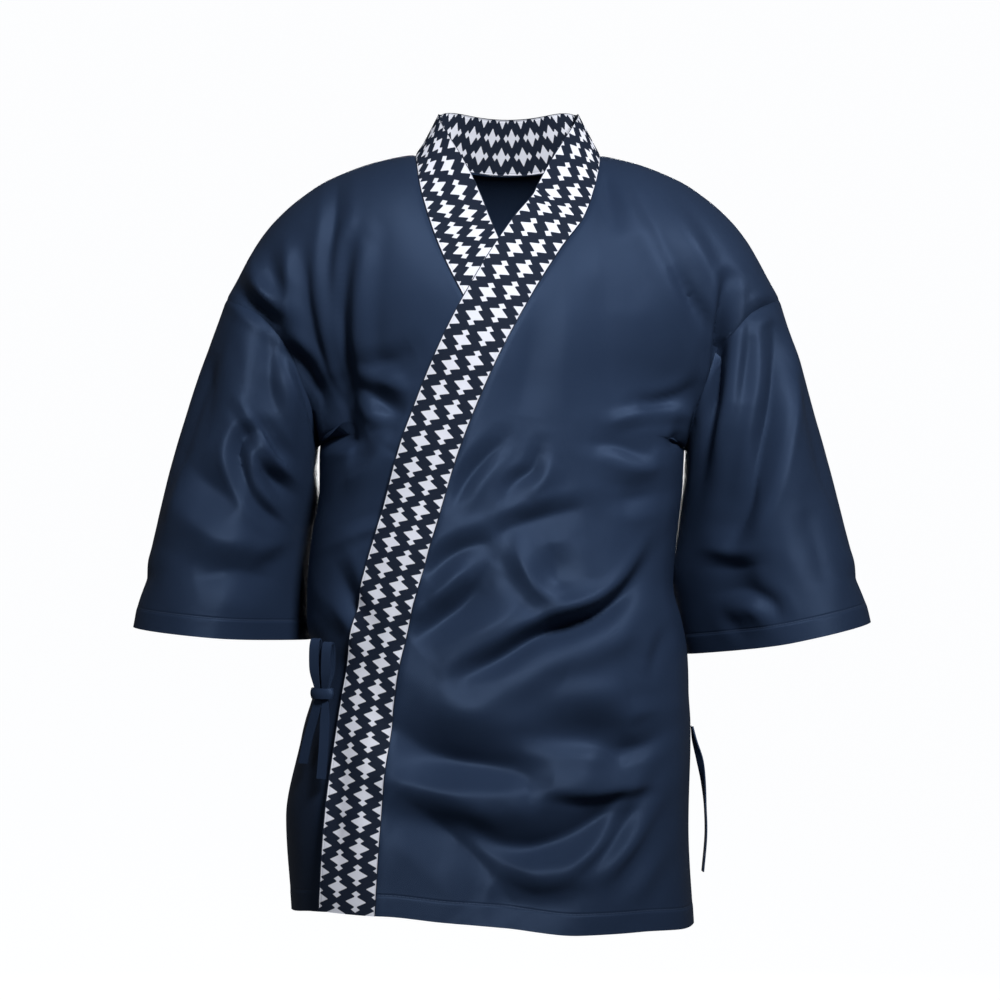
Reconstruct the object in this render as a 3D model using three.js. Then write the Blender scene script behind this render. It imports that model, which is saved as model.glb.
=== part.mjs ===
// A happi coat as it is worn: a wrapped, thigh-length cotton jacket with wide half sleeves and a
// patterned collar band. The cloth is a thin wall that keeps the hollow of its wearer.
//
// Millimetres, +Z up, the front faces -Y, and +X is the wearer's left. The origin is on the
// shoulder line at the base of the neck, where the wearer holds the coat up.
//
// Each cloth piece is a grid of points on its middle surface. Pieces that are sewn together share
// the points of their seam, so their walls meet edge to edge with SEAM_GAP between them.
import * as THREE from "three";

// ---- Driving sizes ----
const CLOTH = 1.2; // wall of one layer of cloth
const BAND_WALL = 2.4; // wall of the folded and stiffened collar band
const BAND_WIDTH = 58;
const SEAM_GAP = 0.3;
const RIDGE_Y = 8; // the shoulder line, measured back from the origin
const LAP_LIFT = 6.5; // from the under front to the over front
const LAP_SWING = 20; // how far the over front's free lower corner stands off, more than that
const TIE_WIDTH = 10;
const TIE_WALL = 1.4;

// Rows run down the coat by t: 0 on the shoulder line, ARMPIT_T at the armpit, 1 at the hem.
const ARMPIT_T = 0.362;
const ARM_ROWS = 9;
const BODY_ROWS = 15;
const SHOULDER_COLUMNS = 14;
const NECK_COLUMNS = 8;
const BAND_COLUMNS = 2;
const SLEEVE_ROWS = 9;

// Shoulder line from the neck to the sleeve seam, the same on both sides.
const SHOULDER = [
  { x: 0, z: 0 },
  { x: 89, z: 0 },
  { x: 124, z: -6 },
  { x: 176, z: -25 },
  { x: 209, z: -46 },
  { x: 231, z: -66 },
  { x: 248, z: -87 },
  { x: 260, z: -107 },
  { x: 271, z: -128 },
  { x: 282, z: -148 },
];
const NECK_X = 93; // from the neck's middle to where the shoulder line starts
const NECK_MIDDLE_X = 5;
const NECK_BACK_T = 0.018; // the row of the back neckline's middle

// How far the armhole seam and then the side seam lie from the middle, on each side.
const SIDES = [
  { t: 0, right: 282, left: 282 },
  { t: 0.084, right: 258, left: 258 },
  { t: 0.15, right: 236, left: 236 },
  { t: 0.206, right: 217, left: 217 },
  { t: 0.262, right: 203, left: 203 },
  { t: 0.313, right: 193, left: 192 },
  { t: 0.362, right: 188, left: 186 },
  { t: 0.42, right: 187.5, left: 183 },
  { t: 0.5, right: 196.5, left: 176 },
  { t: 0.55, right: 199.5, left: 173.5 },
  { t: 0.6, right: 200, left: 183 },
  { t: 0.64, right: 194, left: 188 },
  { t: 0.67, right: 190, left: 189 },
  { t: 0.76, right: 205, left: 191 },
  { t: 0.87, right: 221, left: 189 },
  { t: 1, right: 215, left: 194 },
];

// How far the middle of the front and the back lie from the shoulder line, and how square the
// section is: the exponent of its superellipse.
const DEPTHS = [
  { t: 0, front: 122, back: 100, square: 2.1 },
  { t: 0.25, front: 126, back: 108, square: 2.2 },
  { t: 0.42, front: 127, back: 104, square: 2.4 },
  { t: 0.62, front: 131, back: 98, square: 2.5 },
  { t: 0.8, front: 139, back: 108, square: 2.6 },
  { t: 1, front: 145, back: 120, square: 2.6 },
];
const FRONT_ROUND_T = 0.3; // the rows over which the shoulder rounds down into the front
const BACK_ROUND_T = 0.16;
const ARM_FRONT = 64; // how far the armhole bows to the front and the back
const ARM_BACK = 60;
const ARM_RUN_OUT = 0.8; // how far that bow runs on below the armhole's middle, by its depth

// Hem heights across the coat, by the share of its half width.
const HEM = [
  { share: -1, front: -764, back: -764 },
  { share: -0.87, front: -756, back: -766 },
  { share: -0.57, front: -751, back: -768 },
  { share: -0.28, front: -757, back: -770 },
  { share: 0, front: -762, back: -771 },
  { share: 0.38, front: -770, back: -773 },
  { share: 0.68, front: -770, back: -775 },
  { share: 1, front: -777, back: -777 },
];

// The seam between each front and the collar band.
const OVER_SEAM = [
  { z: -5, x: 98 },
  { z: -30, x: 94 },
  { z: -71, x: 81 },
  { z: -108, x: 56 },
  { z: -148, x: 31 },
  { z: -221, x: -8 },
  { z: -304, x: -42 },
  { z: -376, x: -64 },
  { z: -449, x: -85 },
  { z: -545, x: -105 },
  { z: -670, x: -118 },
  { z: -780, x: -124 },
];
const UNDER_SEAM = [
  { z: -5, x: -88 },
  { z: -38, x: -83 },
  { z: -72, x: -74 },
  { z: -108, x: -61 },
  { z: -161, x: -35 },
  { z: -250, x: 10 },
  { z: -350, x: 46 },
  { z: -450, x: 68 },
  { z: -550, x: 84 },
  { z: -650, x: 96 },
  { z: -780, x: 104 },
];

// The sleeves' cuffs: the outer and the inner corner in front view, and the half depth.
const CUFFS = {
  right: { outerX: -375, outerZ: -481, innerX: -204, innerZ: -496, halfDepth: 72 },
  left: { outerX: 373, outerZ: -476, innerX: 200, innerZ: -511, halfDepth: 72 },
};
const CUFF_FORWARD = 8; // the cuffs' middle, in front of the shoulder line
const SLEEVE_BOW = { right: 7, left: 1.5 }; // how far the sleeve's outer line bows out
// How far the underarm line stands off a straight one, along the sleeve: outwards, and to the back,
// where it follows the body and runs behind its side.
const UNDERARM = [
  { v: 0, right: 0, left: 0, back: 0 },
  { v: 0.12, right: 1.5, left: 0, back: 6 },
  { v: 0.29, right: -3, left: -6, back: 26 },
  { v: 0.5, right: 0.5, left: -16, back: 42 },
  { v: 0.62, right: 0, left: -21, back: 46 },
  { v: 0.79, right: -2, left: -16, back: 46 },
  { v: 1, right: -6, left: -9, back: 44 },
];

// The bow at the wearer's right is placed from its knot: w runs towards the coat's middle, and
// out away from it.
const KNOT = { x: -168, z: -541, clear: 12, halfWidth: 12, halfDepth: 7, height: 10 };
const BOW_TURN = 0.45; // how far the bow faces out to the side, as a slope
const BOW_LOOP = [
  { w: 1.2, up: 3, out: -2.2 },
  { w: -1, up: 22, out: -4.5 },
  { w: -1.5, up: 44, out: -4 },
  { w: -1.5, up: 53, out: 0 },
  { w: -1.5, up: 44, out: 4.5 },
  { w: -1, up: 22, out: 5 },
  { w: 1.2, up: 3, out: 2.2 },
];
const BOW_LOOPS = [
  { name: "bow_loop_outer", w: -5.2, lean: 1, rise: 1 },
  { name: "bow_loop_inner", w: 5.2, lean: -1.2, rise: 0.94 },
];
const BOW_TAILS = [
  {
    name: "bow_tail_straight",
    points: [
      { w: 4, up: -3, out: 1 },
      { w: 5, up: -30, out: 4 },
      { w: 6, up: -58, out: 9 },
      { w: 6, up: -82, out: 13 },
    ],
  },
  {
    name: "bow_tail_slanted",
    points: [
      { w: -3, up: -3, out: 1 },
      { w: -6, up: -15, out: 0.5 },
      { w: -17, up: -46, out: -2 },
      { w: -23, up: -70, out: -3 },
    ],
  },
];

// The free tie hangs from the wearer's left side seam. Its face turns from the front to the side.
const SIDE_TIE = [
  { x: 194.2, y: 7, z: -583, face: 1.5 },
  { x: 197, y: 5, z: -598, face: 1.2 },
  { x: 201.5, y: 3, z: -617, face: 0.95 },
  { x: 204.5, y: 1, z: -640, face: 1.25 },
  { x: 206.5, y: 0, z: -668, face: 1.5 },
  { x: 207, y: 1, z: -695, face: 1.5 },
  { x: 204, y: 2, z: -731, face: 1.5 },
];

// The largest folds of the fronts. Each runs from one end through a middle point to the other, and
// has its width and height: a trough is negative.
const FRONT_FOLDS = [
  { x0: 174, z0: -381, x1: 94, z1: -460, x2: -22, z2: -515, width: 27, height: -8 },
  { x0: 176, z0: -430, x1: 110, z1: -505, x2: 10, z2: -550, width: 30, height: 6 },
  { x0: -95, z0: -546, x1: -32, z1: -604, x2: 41, z2: -633, width: 30, height: -7 },
  { x0: 170, z0: -584, x1: 113, z1: -662, x2: 16, z2: -710, width: 32, height: -7 },
  { x0: -100, z0: -633, x1: -51, z1: -691, x2: 2, z2: -720, width: 32, height: -7 },
  { x0: -178, z0: -70, x1: -180, z1: -190, x2: -168, z2: -290, width: 22, height: -6 },
  { x0: -150, z0: -262, x1: -155, z1: -300, x2: -150, z2: -330, width: 28, height: -12 },
  { x0: 212, z0: -150, x1: 207, z1: -227, x2: 178, z2: -330, width: 20, height: -8 },
];
const BACK_FOLDS = [
  { x0: -150, z0: -190, x1: -100, z1: -300, x2: -90, z2: -420, width: 26, height: -7 },
  { x0: 160, z0: -200, x1: 110, z1: -320, x2: 100, z2: -450, width: 26, height: -7 },
  { x0: -60, z0: -430, x1: 20, z1: -480, x2: 110, z2: -440, width: 26, height: -6 },
  { x0: -40, z0: -560, x1: -30, z1: -660, x2: -45, z2: -760, width: 30, height: -8 },
  { x0: 80, z0: -540, x1: 95, z1: -650, x2: 90, z2: -760, width: 30, height: -7 },
];

// ---- Small maths ----
const clamp01 = (q) => Math.min(1, Math.max(0, q));
const smooth = (q) => clamp01(q) ** 2 * (3 - 2 * clamp01(q));
const lerp = THREE.MathUtils.lerp;
const vec = (x, y, z) => new THREE.Vector3(x, y, z);
const range = (n) => Array.from({ length: n + 1 }, (_, i) => i);

// A smooth reading of one column of a table, by another that rises or falls down the table. The
// slopes are the monotone cubic's, so it never overshoots between two rows.
function reader(table, key, name) {
  const sign = table[1][key] > table[0][key] ? 1 : -1;
  const k = table.map((row) => row[key] * sign);
  const v = table.map((row) => row[name]);
  const last = k.length - 1;
  const rise = k.slice(1).map((end, i) => (v[i + 1] - v[i]) / (end - k[i]));
  const slope = k.map((_, i) => {
    if (i === 0) return rise[0];
    if (i === last) return rise[last - 1];
    const product = rise[i - 1] * rise[i];
    return product <= 0 ? 0 : (2 * product) / (rise[i - 1] + rise[i]);
  });
  return (at) => {
    const q = Math.min(k[last], Math.max(k[0], at * sign));
    let i = 0;
    while (i < last - 1 && q > k[i + 1]) i += 1;
    const h = k[i + 1] - k[i];
    const s = (q - k[i]) / h;
    const keep = (1 + 2 * s) * (1 - s) ** 2;
    return (
      keep * v[i] + (1 - keep) * v[i + 1] + h * s * (1 - s) * ((1 - s) * slope[i] - s * slope[i + 1])
    );
  };
}

const shoulderZ = reader(SHOULDER, "x", "z");
const sideX = { right: reader(SIDES, "t", "right"), left: reader(SIDES, "t", "left") };
const depth = { front: reader(DEPTHS, "t", "front"), back: reader(DEPTHS, "t", "back") };
const squareness = reader(DEPTHS, "t", "square");
const hemZ = { front: reader(HEM, "share", "front"), back: reader(HEM, "share", "back") };
const overSeamX = reader(OVER_SEAM, "z", "x");
const underSeamX = reader(UNDER_SEAM, "z", "x");
const underarm = { right: reader(UNDERARM, "v", "right"), left: reader(UNDERARM, "v", "left") };
const underarmBack = reader(UNDERARM, "v", "back");

// ---- The coat's form ----
// The rows are closer together at the top and the bottom of the armhole, as equal steps round it.
const ROWS = [
  ...range(ARM_ROWS).map((j) => (ARMPIT_T * (1 - Math.cos((Math.PI * j) / ARM_ROWS))) / 2),
  ...range(BODY_ROWS - 1).map((j) => lerp(ARMPIT_T, 1, (j + 1) / BODY_ROWS)),
];

const halfWidth = (x, t) => (x < 0 ? sideX.right(t) : sideX.left(t));
const rowZ = (face, x, t) => lerp(shoulderZ(Math.abs(x)), hemZ[face](x / halfWidth(x, t)), t);
const roundOff = (t, over) => Math.sqrt(1 - (1 - clamp01(t / over)) ** 2);

// How far a fold moves the cloth at a point of its face, seen square on. Shallow banks of the
// other sign run beside it, as in real cloth.
function foldHeight(folds, x, z) {
  let sum = 0;
  for (const f of folds) {
    const steps = 12;
    let best = Infinity;
    let along = 0;
    for (let i = 0; i <= steps; i += 1) {
      const s = i / steps;
      const px = lerp(lerp(f.x0, f.x1, s), lerp(f.x1, f.x2, s), s);
      const pz = lerp(lerp(f.z0, f.z1, s), lerp(f.z1, f.z2, s), s);
      const away = Math.hypot(x - px, z - pz);
      if (away < best) [best, along] = [away, s];
    }
    const q = (best / f.width) ** 2;
    sum += f.height * (1 - 0.5 * q) * Math.exp(-q) * Math.sqrt(Math.sin(Math.PI * lerp(0.06, 0.94, along)));
  }
  return sum;
}

// How far the surface lies from the shoulder line's plane, before its folds.
function faceDepth(face, x, t) {
  const u = Math.min(1, Math.abs(x) / halfWidth(x, t));
  const round = roundOff(t, face === "front" ? FRONT_ROUND_T : BACK_ROUND_T);
  const middle = depth[face](t) * round;
  const bow = face === "front" ? ARM_FRONT : ARM_BACK;
  const q = t / ARMPIT_T;
  const edge = bow * Math.sin(Math.acos(1 - 2 * Math.min(1, q)));
  // Away from the armhole the bow runs out softly, some way below the armpit.
  const inside = q < 0.5 ? edge : bow * (1 - smooth((q - 0.5) / ARM_RUN_OUT));
  const n = squareness(t);
  const closed = (1 - u ** n) ** (1 / n);
  const open = 1 - u ** 2.3;
  const section = inside + (middle - inside) * lerp(open, closed, smooth((t - 0.27) / 0.13));
  return section + (edge - inside) * smooth((u - 0.8) / 0.2);
}

// A point on a face of the body, with its folds fading out towards the seams.
function facePoint(face, x, t, lift = 0) {
  const z = rowZ(face, x, t);
  const u = Math.abs(x) / halfWidth(x, t);
  const fade = smooth((1 - u) / 0.15) * smooth(t / 0.1);
  const fold = fade * foldHeight(face === "front" ? FRONT_FOLDS : BACK_FOLDS, x, z);
  const out = faceDepth(face, x, t);
  // Beside the seam the surface turns sideways, and so does the lift.
  const aside = smooth((u - 0.6) / 0.4) * 0.7;
  const sideways = Math.sign(x) * aside * lift;
  const away = out + fold + lift * (1 - aside * 0.4);
  return vec(x + sideways, RIDGE_Y + (face === "front" ? -away : away), z);
}

// How far the over front lies above the under front. It comes down to the seams of its own side.
function overLift(x, t) {
  const u = x / halfWidth(x, t);
  const lap = LAP_LIFT * smooth(t / 0.11) * smooth((1 - u) / 0.12);
  return lap + LAP_SWING * smooth((t - 0.62) / 0.38) * smooth((-x - 60) / 120);
}
const overPoint = (x, t) => facePoint("front", x, t, overLift(x, t));
const underPoint = (x, t) => facePoint("front", x, t);

// The row that passes through a height, at x on the front.
function rowAt(x, z) {
  const top = shoulderZ(Math.abs(x));
  let t = 0.5;
  for (let i = 0; i < 5; i += 1) t = clamp01((z - top) / (hemZ.front(x / halfWidth(x, t)) - top));
  return t;
}

// Where a front's row crosses the seam of the collar band.
function seamAt(seamX, t) {
  let x = seamX(rowZ("front", 0, t));
  for (let i = 0; i < 6; i += 1) x = seamX(rowZ("front", x, t));
  return x;
}

// ---- Grids of points ----
// A front's columns run from the collar band's seam to the armhole and the side seam.
function frontGrid(point, seamX, side) {
  return ROWS.map((t) => {
    const from = seamAt(seamX, t);
    const to = side * (side < 0 ? sideX.right(t) : sideX.left(t));
    return range(SHOULDER_COLUMNS).map((i) => {
      const x = lerp(from, to, i / SHOULDER_COLUMNS);
      return point(x, t);
    });
  });
}

// The back neckline as rows of the back: turn is 0 at the wearer's left and 1 at the right.
const neckX = (turn) => NECK_MIDDLE_X + NECK_X * Math.cos(Math.PI * turn);
const neckT = (turn) => NECK_BACK_T * Math.sin(Math.PI * turn) ** 2;
const necklinePoint = (turn) => facePoint("back", neckX(turn), neckT(turn));

// The back runs from the right armhole to the left one. Its middle columns start at the neckline.
function backGrid() {
  const shoulder = (side) =>
    range(SHOULDER_COLUMNS).map((i) => ({
      topX: lerp(neckX(side > 0 ? 0 : 1), side * sideX.left(0), i / SHOULDER_COLUMNS),
      topT: 0,
    }));
  const neck = range(NECK_COLUMNS)
    .slice(1, -1)
    .map((k) => ({ topX: neckX(1 - k / NECK_COLUMNS), topT: neckT(1 - k / NECK_COLUMNS) }));
  const columns = [...shoulder(-1).reverse(), ...neck, ...shoulder(1)];
  return ROWS.map((row) =>
    columns.map(({ topX, topT }) => {
      const t = lerp(topT, 1, row);
      return facePoint("back", (topX * halfWidth(topX, t)) / halfWidth(topX, topT), t);
    }),
  );
}

// The armhole as a ring, from the shoulder down the front to the armpit and up the back.
function armhole(side) {
  const at = (face, j) => facePoint(face, side * (side < 0 ? sideX.right : sideX.left)(ROWS[j]), ROWS[j]);
  return [
    ...range(ARM_ROWS).map((j) => at("front", j)),
    ...range(ARM_ROWS - 2).map((j) => at("back", ARM_ROWS - 1 - j)),
  ];
}

function sleeveGrid(side) {
  const name = side < 0 ? "right" : "left";
  const cuff = CUFFS[name];
  const ring = armhole(side);
  const middle = vec((cuff.outerX + cuff.innerX) / 2, RIDGE_Y - CUFF_FORWARD, (cuff.outerZ + cuff.innerZ) / 2);
  const half = vec(cuff.outerX, middle.y, cuff.outerZ).sub(middle);
  return range(SLEEVE_ROWS).map((r) => {
    const v = r / SLEEVE_ROWS;
    return ring.map((start, i) => {
      const a = (2 * Math.PI * i) / ring.length;
      const end = middle.clone().addScaledVector(half, Math.cos(a));
      end.y -= cuff.halfDepth * Math.sin(a);
      const p = start.clone().lerp(end, v);
      const under = Math.max(0, -Math.cos(a)) ** 0.8;
      const over = Math.max(0, Math.cos(a));
      p.x += side * under * underarm[name](v);
      p.x += side * over * SLEEVE_BOW[name] * Math.sin(Math.PI * v);
      p.y += under * underarmBack(v);
      return p;
    });
  });
}

// ---- The collar band ----
// It runs from the over front's hem, up, round the neck and down the under front. Each station has
// a point on the seam and the points across to the free edge. On the chest the band lies on the
// front's surface, and round the neck it stands up and leans in.
const LIE_T = 0.12; // from here down the band lies flat
const STAND_LEAN = { aside: -0.4, sideBack: 0.5, backIn: -0.18, up: 0.88 };

function standingAcross(turn) {
  const { aside, sideBack, backIn, up } = STAND_LEAN;
  const [c, s] = [Math.cos(Math.PI * turn), Math.sin(Math.PI * turn)];
  return vec(aside * c, sideBack * c ** 4 + backIn * s, up).setLength(BAND_WIDTH);
}

function lyingPoints(point, seamX, t, side) {
  const x = seamAt(seamX, t);
  const z = rowZ("front", x, t);
  const step = 4;
  const slope = (seamX(z - step) - seamX(z + step)) / (2 * step); // x gained for each mm down
  const away = vec(-side, 0, -side * slope).normalize(); // square to the seam, to the free edge
  const onFront = (reach) => {
    const px = x + away.x * reach;
    return point(px, rowAt(px, z + away.z * reach));
  };
  // The reach that makes the band its own width on the sloping surface.
  const seam = onFront(0);
  let reach = BAND_WIDTH;
  for (let i = 0; i < 5; i += 1) reach *= BAND_WIDTH / onFront(reach).distanceTo(seam);
  return range(BAND_COLUMNS).map((i) => (i ? onFront((reach * i) / BAND_COLUMNS) : point(x, t)));
}

function bandOnFront(point, seamX, side) {
  return ROWS.map((t) => {
    const start = point(seamAt(seamX, t), t);
    const up = standingAcross(side > 0 ? 0 : 1);
    const lie = smooth(t / LIE_T);
    const flat = lyingPoints(point, seamX, Math.max(t, 0.012), side);
    return range(BAND_COLUMNS).map((i) => {
      const share = i / BAND_COLUMNS;
      const across = up.clone().multiplyScalar(share);
      if (i) across.lerp(flat[i].clone().sub(flat[0]), lie);
      return start.clone().add(across.setLength(i ? BAND_WIDTH * share : 0));
    });
  });
}

function bandGrid() {
  const over = bandOnFront(overPoint, overSeamX, 1).reverse();
  const under = bandOnFront(underPoint, underSeamX, -1);
  const neck = range(NECK_COLUMNS)
    .slice(1, -1)
    .map((k) => {
      const turn = k / NECK_COLUMNS;
      const across = standingAcross(turn);
      return range(BAND_COLUMNS).map((i) =>
        necklinePoint(turn).addScaledVector(across, i / BAND_COLUMNS),
      );
    });
  return [...over, ...neck, ...under];
}

// ---- Ties ----
// The frame of the bow: its knot's middle, and the directions that its tables use.
const knotSeat = overPoint(KNOT.x, rowAt(KNOT.x, KNOT.z));
const bowAcross = vec(1, -BOW_TURN, 0).normalize();
const bowOut = vec(-BOW_TURN, -1, 0).normalize();
const knotMiddle = knotSeat.clone().addScaledVector(bowOut, KNOT.clear);
const bowPoint = ({ w, up, out }) =>
  knotMiddle.clone().addScaledVector(bowAcross, w).addScaledVector(bowOut, out).add(vec(0, 0, up));

// A ribbon along a smooth curve through points. widthAt gives its half width as a vector.
function ribbonGrid(points, stations, widthAt) {
  const curve = new THREE.CatmullRomCurve3(points, false, "centripetal");
  return range(stations).map((k) => {
    const s = k / stations;
    const half = widthAt(s);
    return [-1, 1].map((side) => curve.getPoint(s).addScaledVector(half, side));
  });
}

// The bow's ribbons are gathered to less than their width in the knot.
const gathered = (nearKnot) => bowAcross.clone().multiplyScalar((TIE_WIDTH / 2) * lerp(1, 0.6, nearKnot));

function bowLoopGrid({ w, lean, rise }) {
  const points = BOW_LOOP.map((row) => bowPoint({ w: w + lean * row.w, up: row.up * rise, out: row.out }));
  return ribbonGrid(points, 18, (s) => gathered(1 - smooth(Math.min(s, 1 - s) / 0.2)));
}
const bowTailGrid = ({ points }) => ribbonGrid(points.map(bowPoint), 8, (s) => gathered(1 - smooth(s / 0.3)));

// The knot is the turn of tie that holds the bow: a short sleeve, fuller at its middle.
function knotGrid() {
  return [-0.5, -0.2, 0.2, 0.5].map((share) => {
    const full = share ** 2 < 0.1 ? 1 : 0.9;
    return range(13).map((i) => {
      const a = (2 * Math.PI * i) / 14;
      return bowPoint({
        w: full * KNOT.halfWidth * Math.cos(a),
        up: share * KNOT.height,
        out: full * KNOT.halfDepth * Math.sin(a),
      });
    });
  });
}

function sideTieGrid() {
  const points = SIDE_TIE.map((row) => vec(row.x, row.y, row.z));
  const face = SIDE_TIE.map((row, k) => ({ s: k / (SIDE_TIE.length - 1), face: row.face }));
  const turn = reader(face, "s", "face");
  return ribbonGrid(points, 14, (s) =>
    vec(Math.cos(turn(s)), -Math.sin(turn(s)), 0).multiplyScalar(TIE_WIDTH / 2),
  );
}

// ---- From grids to walls ----
const keyOf = (p) => [p.x, p.y, p.z].map((c) => Math.round(c * 50)).join();

// Each point's normal, from its neighbours in the grid. A ring's columns close on themselves.
function gridNormals(grid, ring) {
  const rows = grid.length;
  const columns = grid[0].length;
  const column = (i) => (ring ? (i + columns) % columns : Math.min(columns - 1, Math.max(0, i)));
  return grid.map((row, j) =>
    row.map((_, i) => {
      const across = row[column(i + 1)].clone().sub(row[column(i - 1)]);
      const down = grid[Math.min(rows - 1, j + 1)][i].clone().sub(grid[Math.max(0, j - 1)][i]);
      return down.cross(across).normalize();
    }),
  );
}

// Pieces share the normals at the points that they share, so that their walls meet squarely.
function weldNormals(cloths) {
  const sums = new Map();
  const each = (use) =>
    cloths.forEach((c) => c.grid.forEach((row, j) => row.forEach((p, i) => use(c, p, j, i))));
  each((c, p, j, i) => {
    const key = keyOf(p);
    if (!sums.has(key)) sums.set(key, vec(0, 0, 0));
    sums.get(key).add(c.normals[j][i]);
  });
  each((c, p, j, i) => c.normals[j][i].copy(sums.get(keyOf(p))).normalize());
}

// The points of a grid's sewn edges move in by half the seam gap.
function openSeams({ grid, sewn }) {
  const rows = grid.length - 1;
  const columns = grid[0].length - 1;
  const pull = (p, towards) => p.addScaledVector(towards.clone().sub(p).normalize(), SEAM_GAP / 2);
  if (sewn.includes("top")) grid[0].forEach((p, i) => pull(p, grid[1][i]));
  if (sewn.includes("bottom")) grid[rows].forEach((p, i) => pull(p, grid[rows - 1][i]));
  if (sewn.includes("first")) grid.forEach((row) => pull(row[0], row[1]));
  if (sewn.includes("last")) grid.forEach((row) => pull(row[columns], row[columns - 1]));
}

// A closed wall of even thickness on both sides of a grid of points.
function wall({ grid, normals, thickness, ring, turned }) {
  const rows = grid.length;
  const columns = grid[0].length;
  const positions = [];
  const triangles = [];
  for (const sign of [1, -1])
    grid.forEach((row, j) =>
      row.forEach((p, i) => {
        positions.push(...p.clone().addScaledVector(normals[j][i], (sign * thickness) / 2).toArray());
      }),
    );
  const at = (side, j, i) => side * rows * columns + j * columns + (i % columns);
  const quad = (a, b, c, d) => triangles.push(a, b, c, a, c, d);
  const spans = ring ? columns : columns - 1;
  for (let j = 0; j < rows - 1; j += 1)
    for (let i = 0; i < spans; i += 1) {
      quad(at(0, j, i), at(0, j + 1, i), at(0, j + 1, i + 1), at(0, j, i + 1));
      quad(at(1, j, i), at(1, j, i + 1), at(1, j + 1, i + 1), at(1, j + 1, i));
    }
  for (let i = 0; i < spans; i += 1) {
    quad(at(0, 0, i), at(0, 0, i + 1), at(1, 0, i + 1), at(1, 0, i));
    quad(at(0, rows - 1, i + 1), at(0, rows - 1, i), at(1, rows - 1, i), at(1, rows - 1, i + 1));
  }
  if (!ring)
    for (let j = 0; j < rows - 1; j += 1) {
      quad(at(0, j + 1, 0), at(0, j, 0), at(1, j, 0), at(1, j + 1, 0));
      quad(
        at(0, j, columns - 1),
        at(0, j + 1, columns - 1),
        at(1, j + 1, columns - 1),
        at(1, j, columns - 1),
      );
    }
  if (turned) for (let i = 0; i < triangles.length; i += 3) triangles.splice(i, 2, triangles[i + 1], triangles[i]);
  const geometry = new THREE.BufferGeometry();
  geometry.setAttribute("position", new THREE.Float32BufferAttribute(positions, 3));
  geometry.setIndex(triangles);
  return geometry;
}

// ---- Materials ----
const navyCloth = new THREE.MeshStandardMaterial({ color: 0x26364f, roughness: 0.75, metalness: 0 });
const patternedCloth = new THREE.MeshStandardMaterial({ color: 0x7d8796, roughness: 0.8, metalness: 0 });

// ---- The coat ----
const coat = new THREE.Group();

function add(name, geometry, material) {
  geometry.computeVertexNormals();
  const mesh = new THREE.Mesh(geometry, material);
  mesh.name = name;
  coat.add(mesh);
}

const cloths = [
  { name: "back", grid: backGrid(), sewn: ["top", "first", "last"], turned: true },
  { name: "front_left_over", grid: frontGrid(overPoint, overSeamX, 1), sewn: ["top", "first", "last"] },
  {
    name: "front_right_under",
    grid: frontGrid(underPoint, underSeamX, -1),
    sewn: ["top", "first", "last"],
    turned: true,
  },
  { name: "sleeve_right", grid: sleeveGrid(-1), sewn: ["top"], ring: true },
  { name: "sleeve_left", grid: sleeveGrid(1), sewn: ["top"], ring: true, turned: true },
  { name: "collar_band", grid: bandGrid(), sewn: ["first"], thickness: BAND_WALL, material: patternedCloth },
];
for (const cloth of cloths) {
  cloth.normals = gridNormals(cloth.grid, cloth.ring);
  if (cloth.turned) cloth.normals.flat().forEach((n) => n.negate());
}
weldNormals(cloths);
for (const cloth of cloths) {
  openSeams(cloth);
  add(cloth.name, wall({ thickness: CLOTH, ...cloth }), cloth.material ?? navyCloth);
}

const ties = [
  ...BOW_LOOPS.map((loop) => ({ name: loop.name, grid: bowLoopGrid(loop) })),
  ...BOW_TAILS.map((tail) => ({ name: tail.name, grid: bowTailGrid(tail) })),
  { name: "bow_knot", grid: knotGrid(), ring: true },
  { name: "side_tie", grid: sideTieGrid() },
];
for (const tie of ties) {
  const normals = gridNormals(tie.grid, tie.ring);
  add(tie.name, wall({ ...tie, normals, thickness: TIE_WALL }), navyCloth);
}

export default coat;
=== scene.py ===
"""A happi coat as it is worn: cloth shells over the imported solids, a printed collar band and its ties.

Tables and sizes are in millimetres, in the frame's axes: +Z up, the front faces -Y, and +X is the
wearer's left. Meshes are made in metres. Every cloth piece is a grid of points on its middle
surface. Pieces that are sewn together share the points of their seam.
"""

import math

import bpy
import numpy as np
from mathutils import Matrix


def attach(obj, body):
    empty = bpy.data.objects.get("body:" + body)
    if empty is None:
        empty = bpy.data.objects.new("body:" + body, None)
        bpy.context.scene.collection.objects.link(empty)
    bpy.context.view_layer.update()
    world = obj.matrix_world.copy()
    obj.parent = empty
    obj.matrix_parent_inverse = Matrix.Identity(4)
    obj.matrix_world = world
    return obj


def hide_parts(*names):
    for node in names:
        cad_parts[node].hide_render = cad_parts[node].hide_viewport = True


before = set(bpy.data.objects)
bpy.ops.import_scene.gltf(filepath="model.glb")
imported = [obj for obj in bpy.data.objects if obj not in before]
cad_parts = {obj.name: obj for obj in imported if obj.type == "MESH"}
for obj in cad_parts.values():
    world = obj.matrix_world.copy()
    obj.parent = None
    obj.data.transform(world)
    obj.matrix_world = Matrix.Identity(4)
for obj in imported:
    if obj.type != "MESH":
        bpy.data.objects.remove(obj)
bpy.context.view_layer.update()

MM = 0.001

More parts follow.
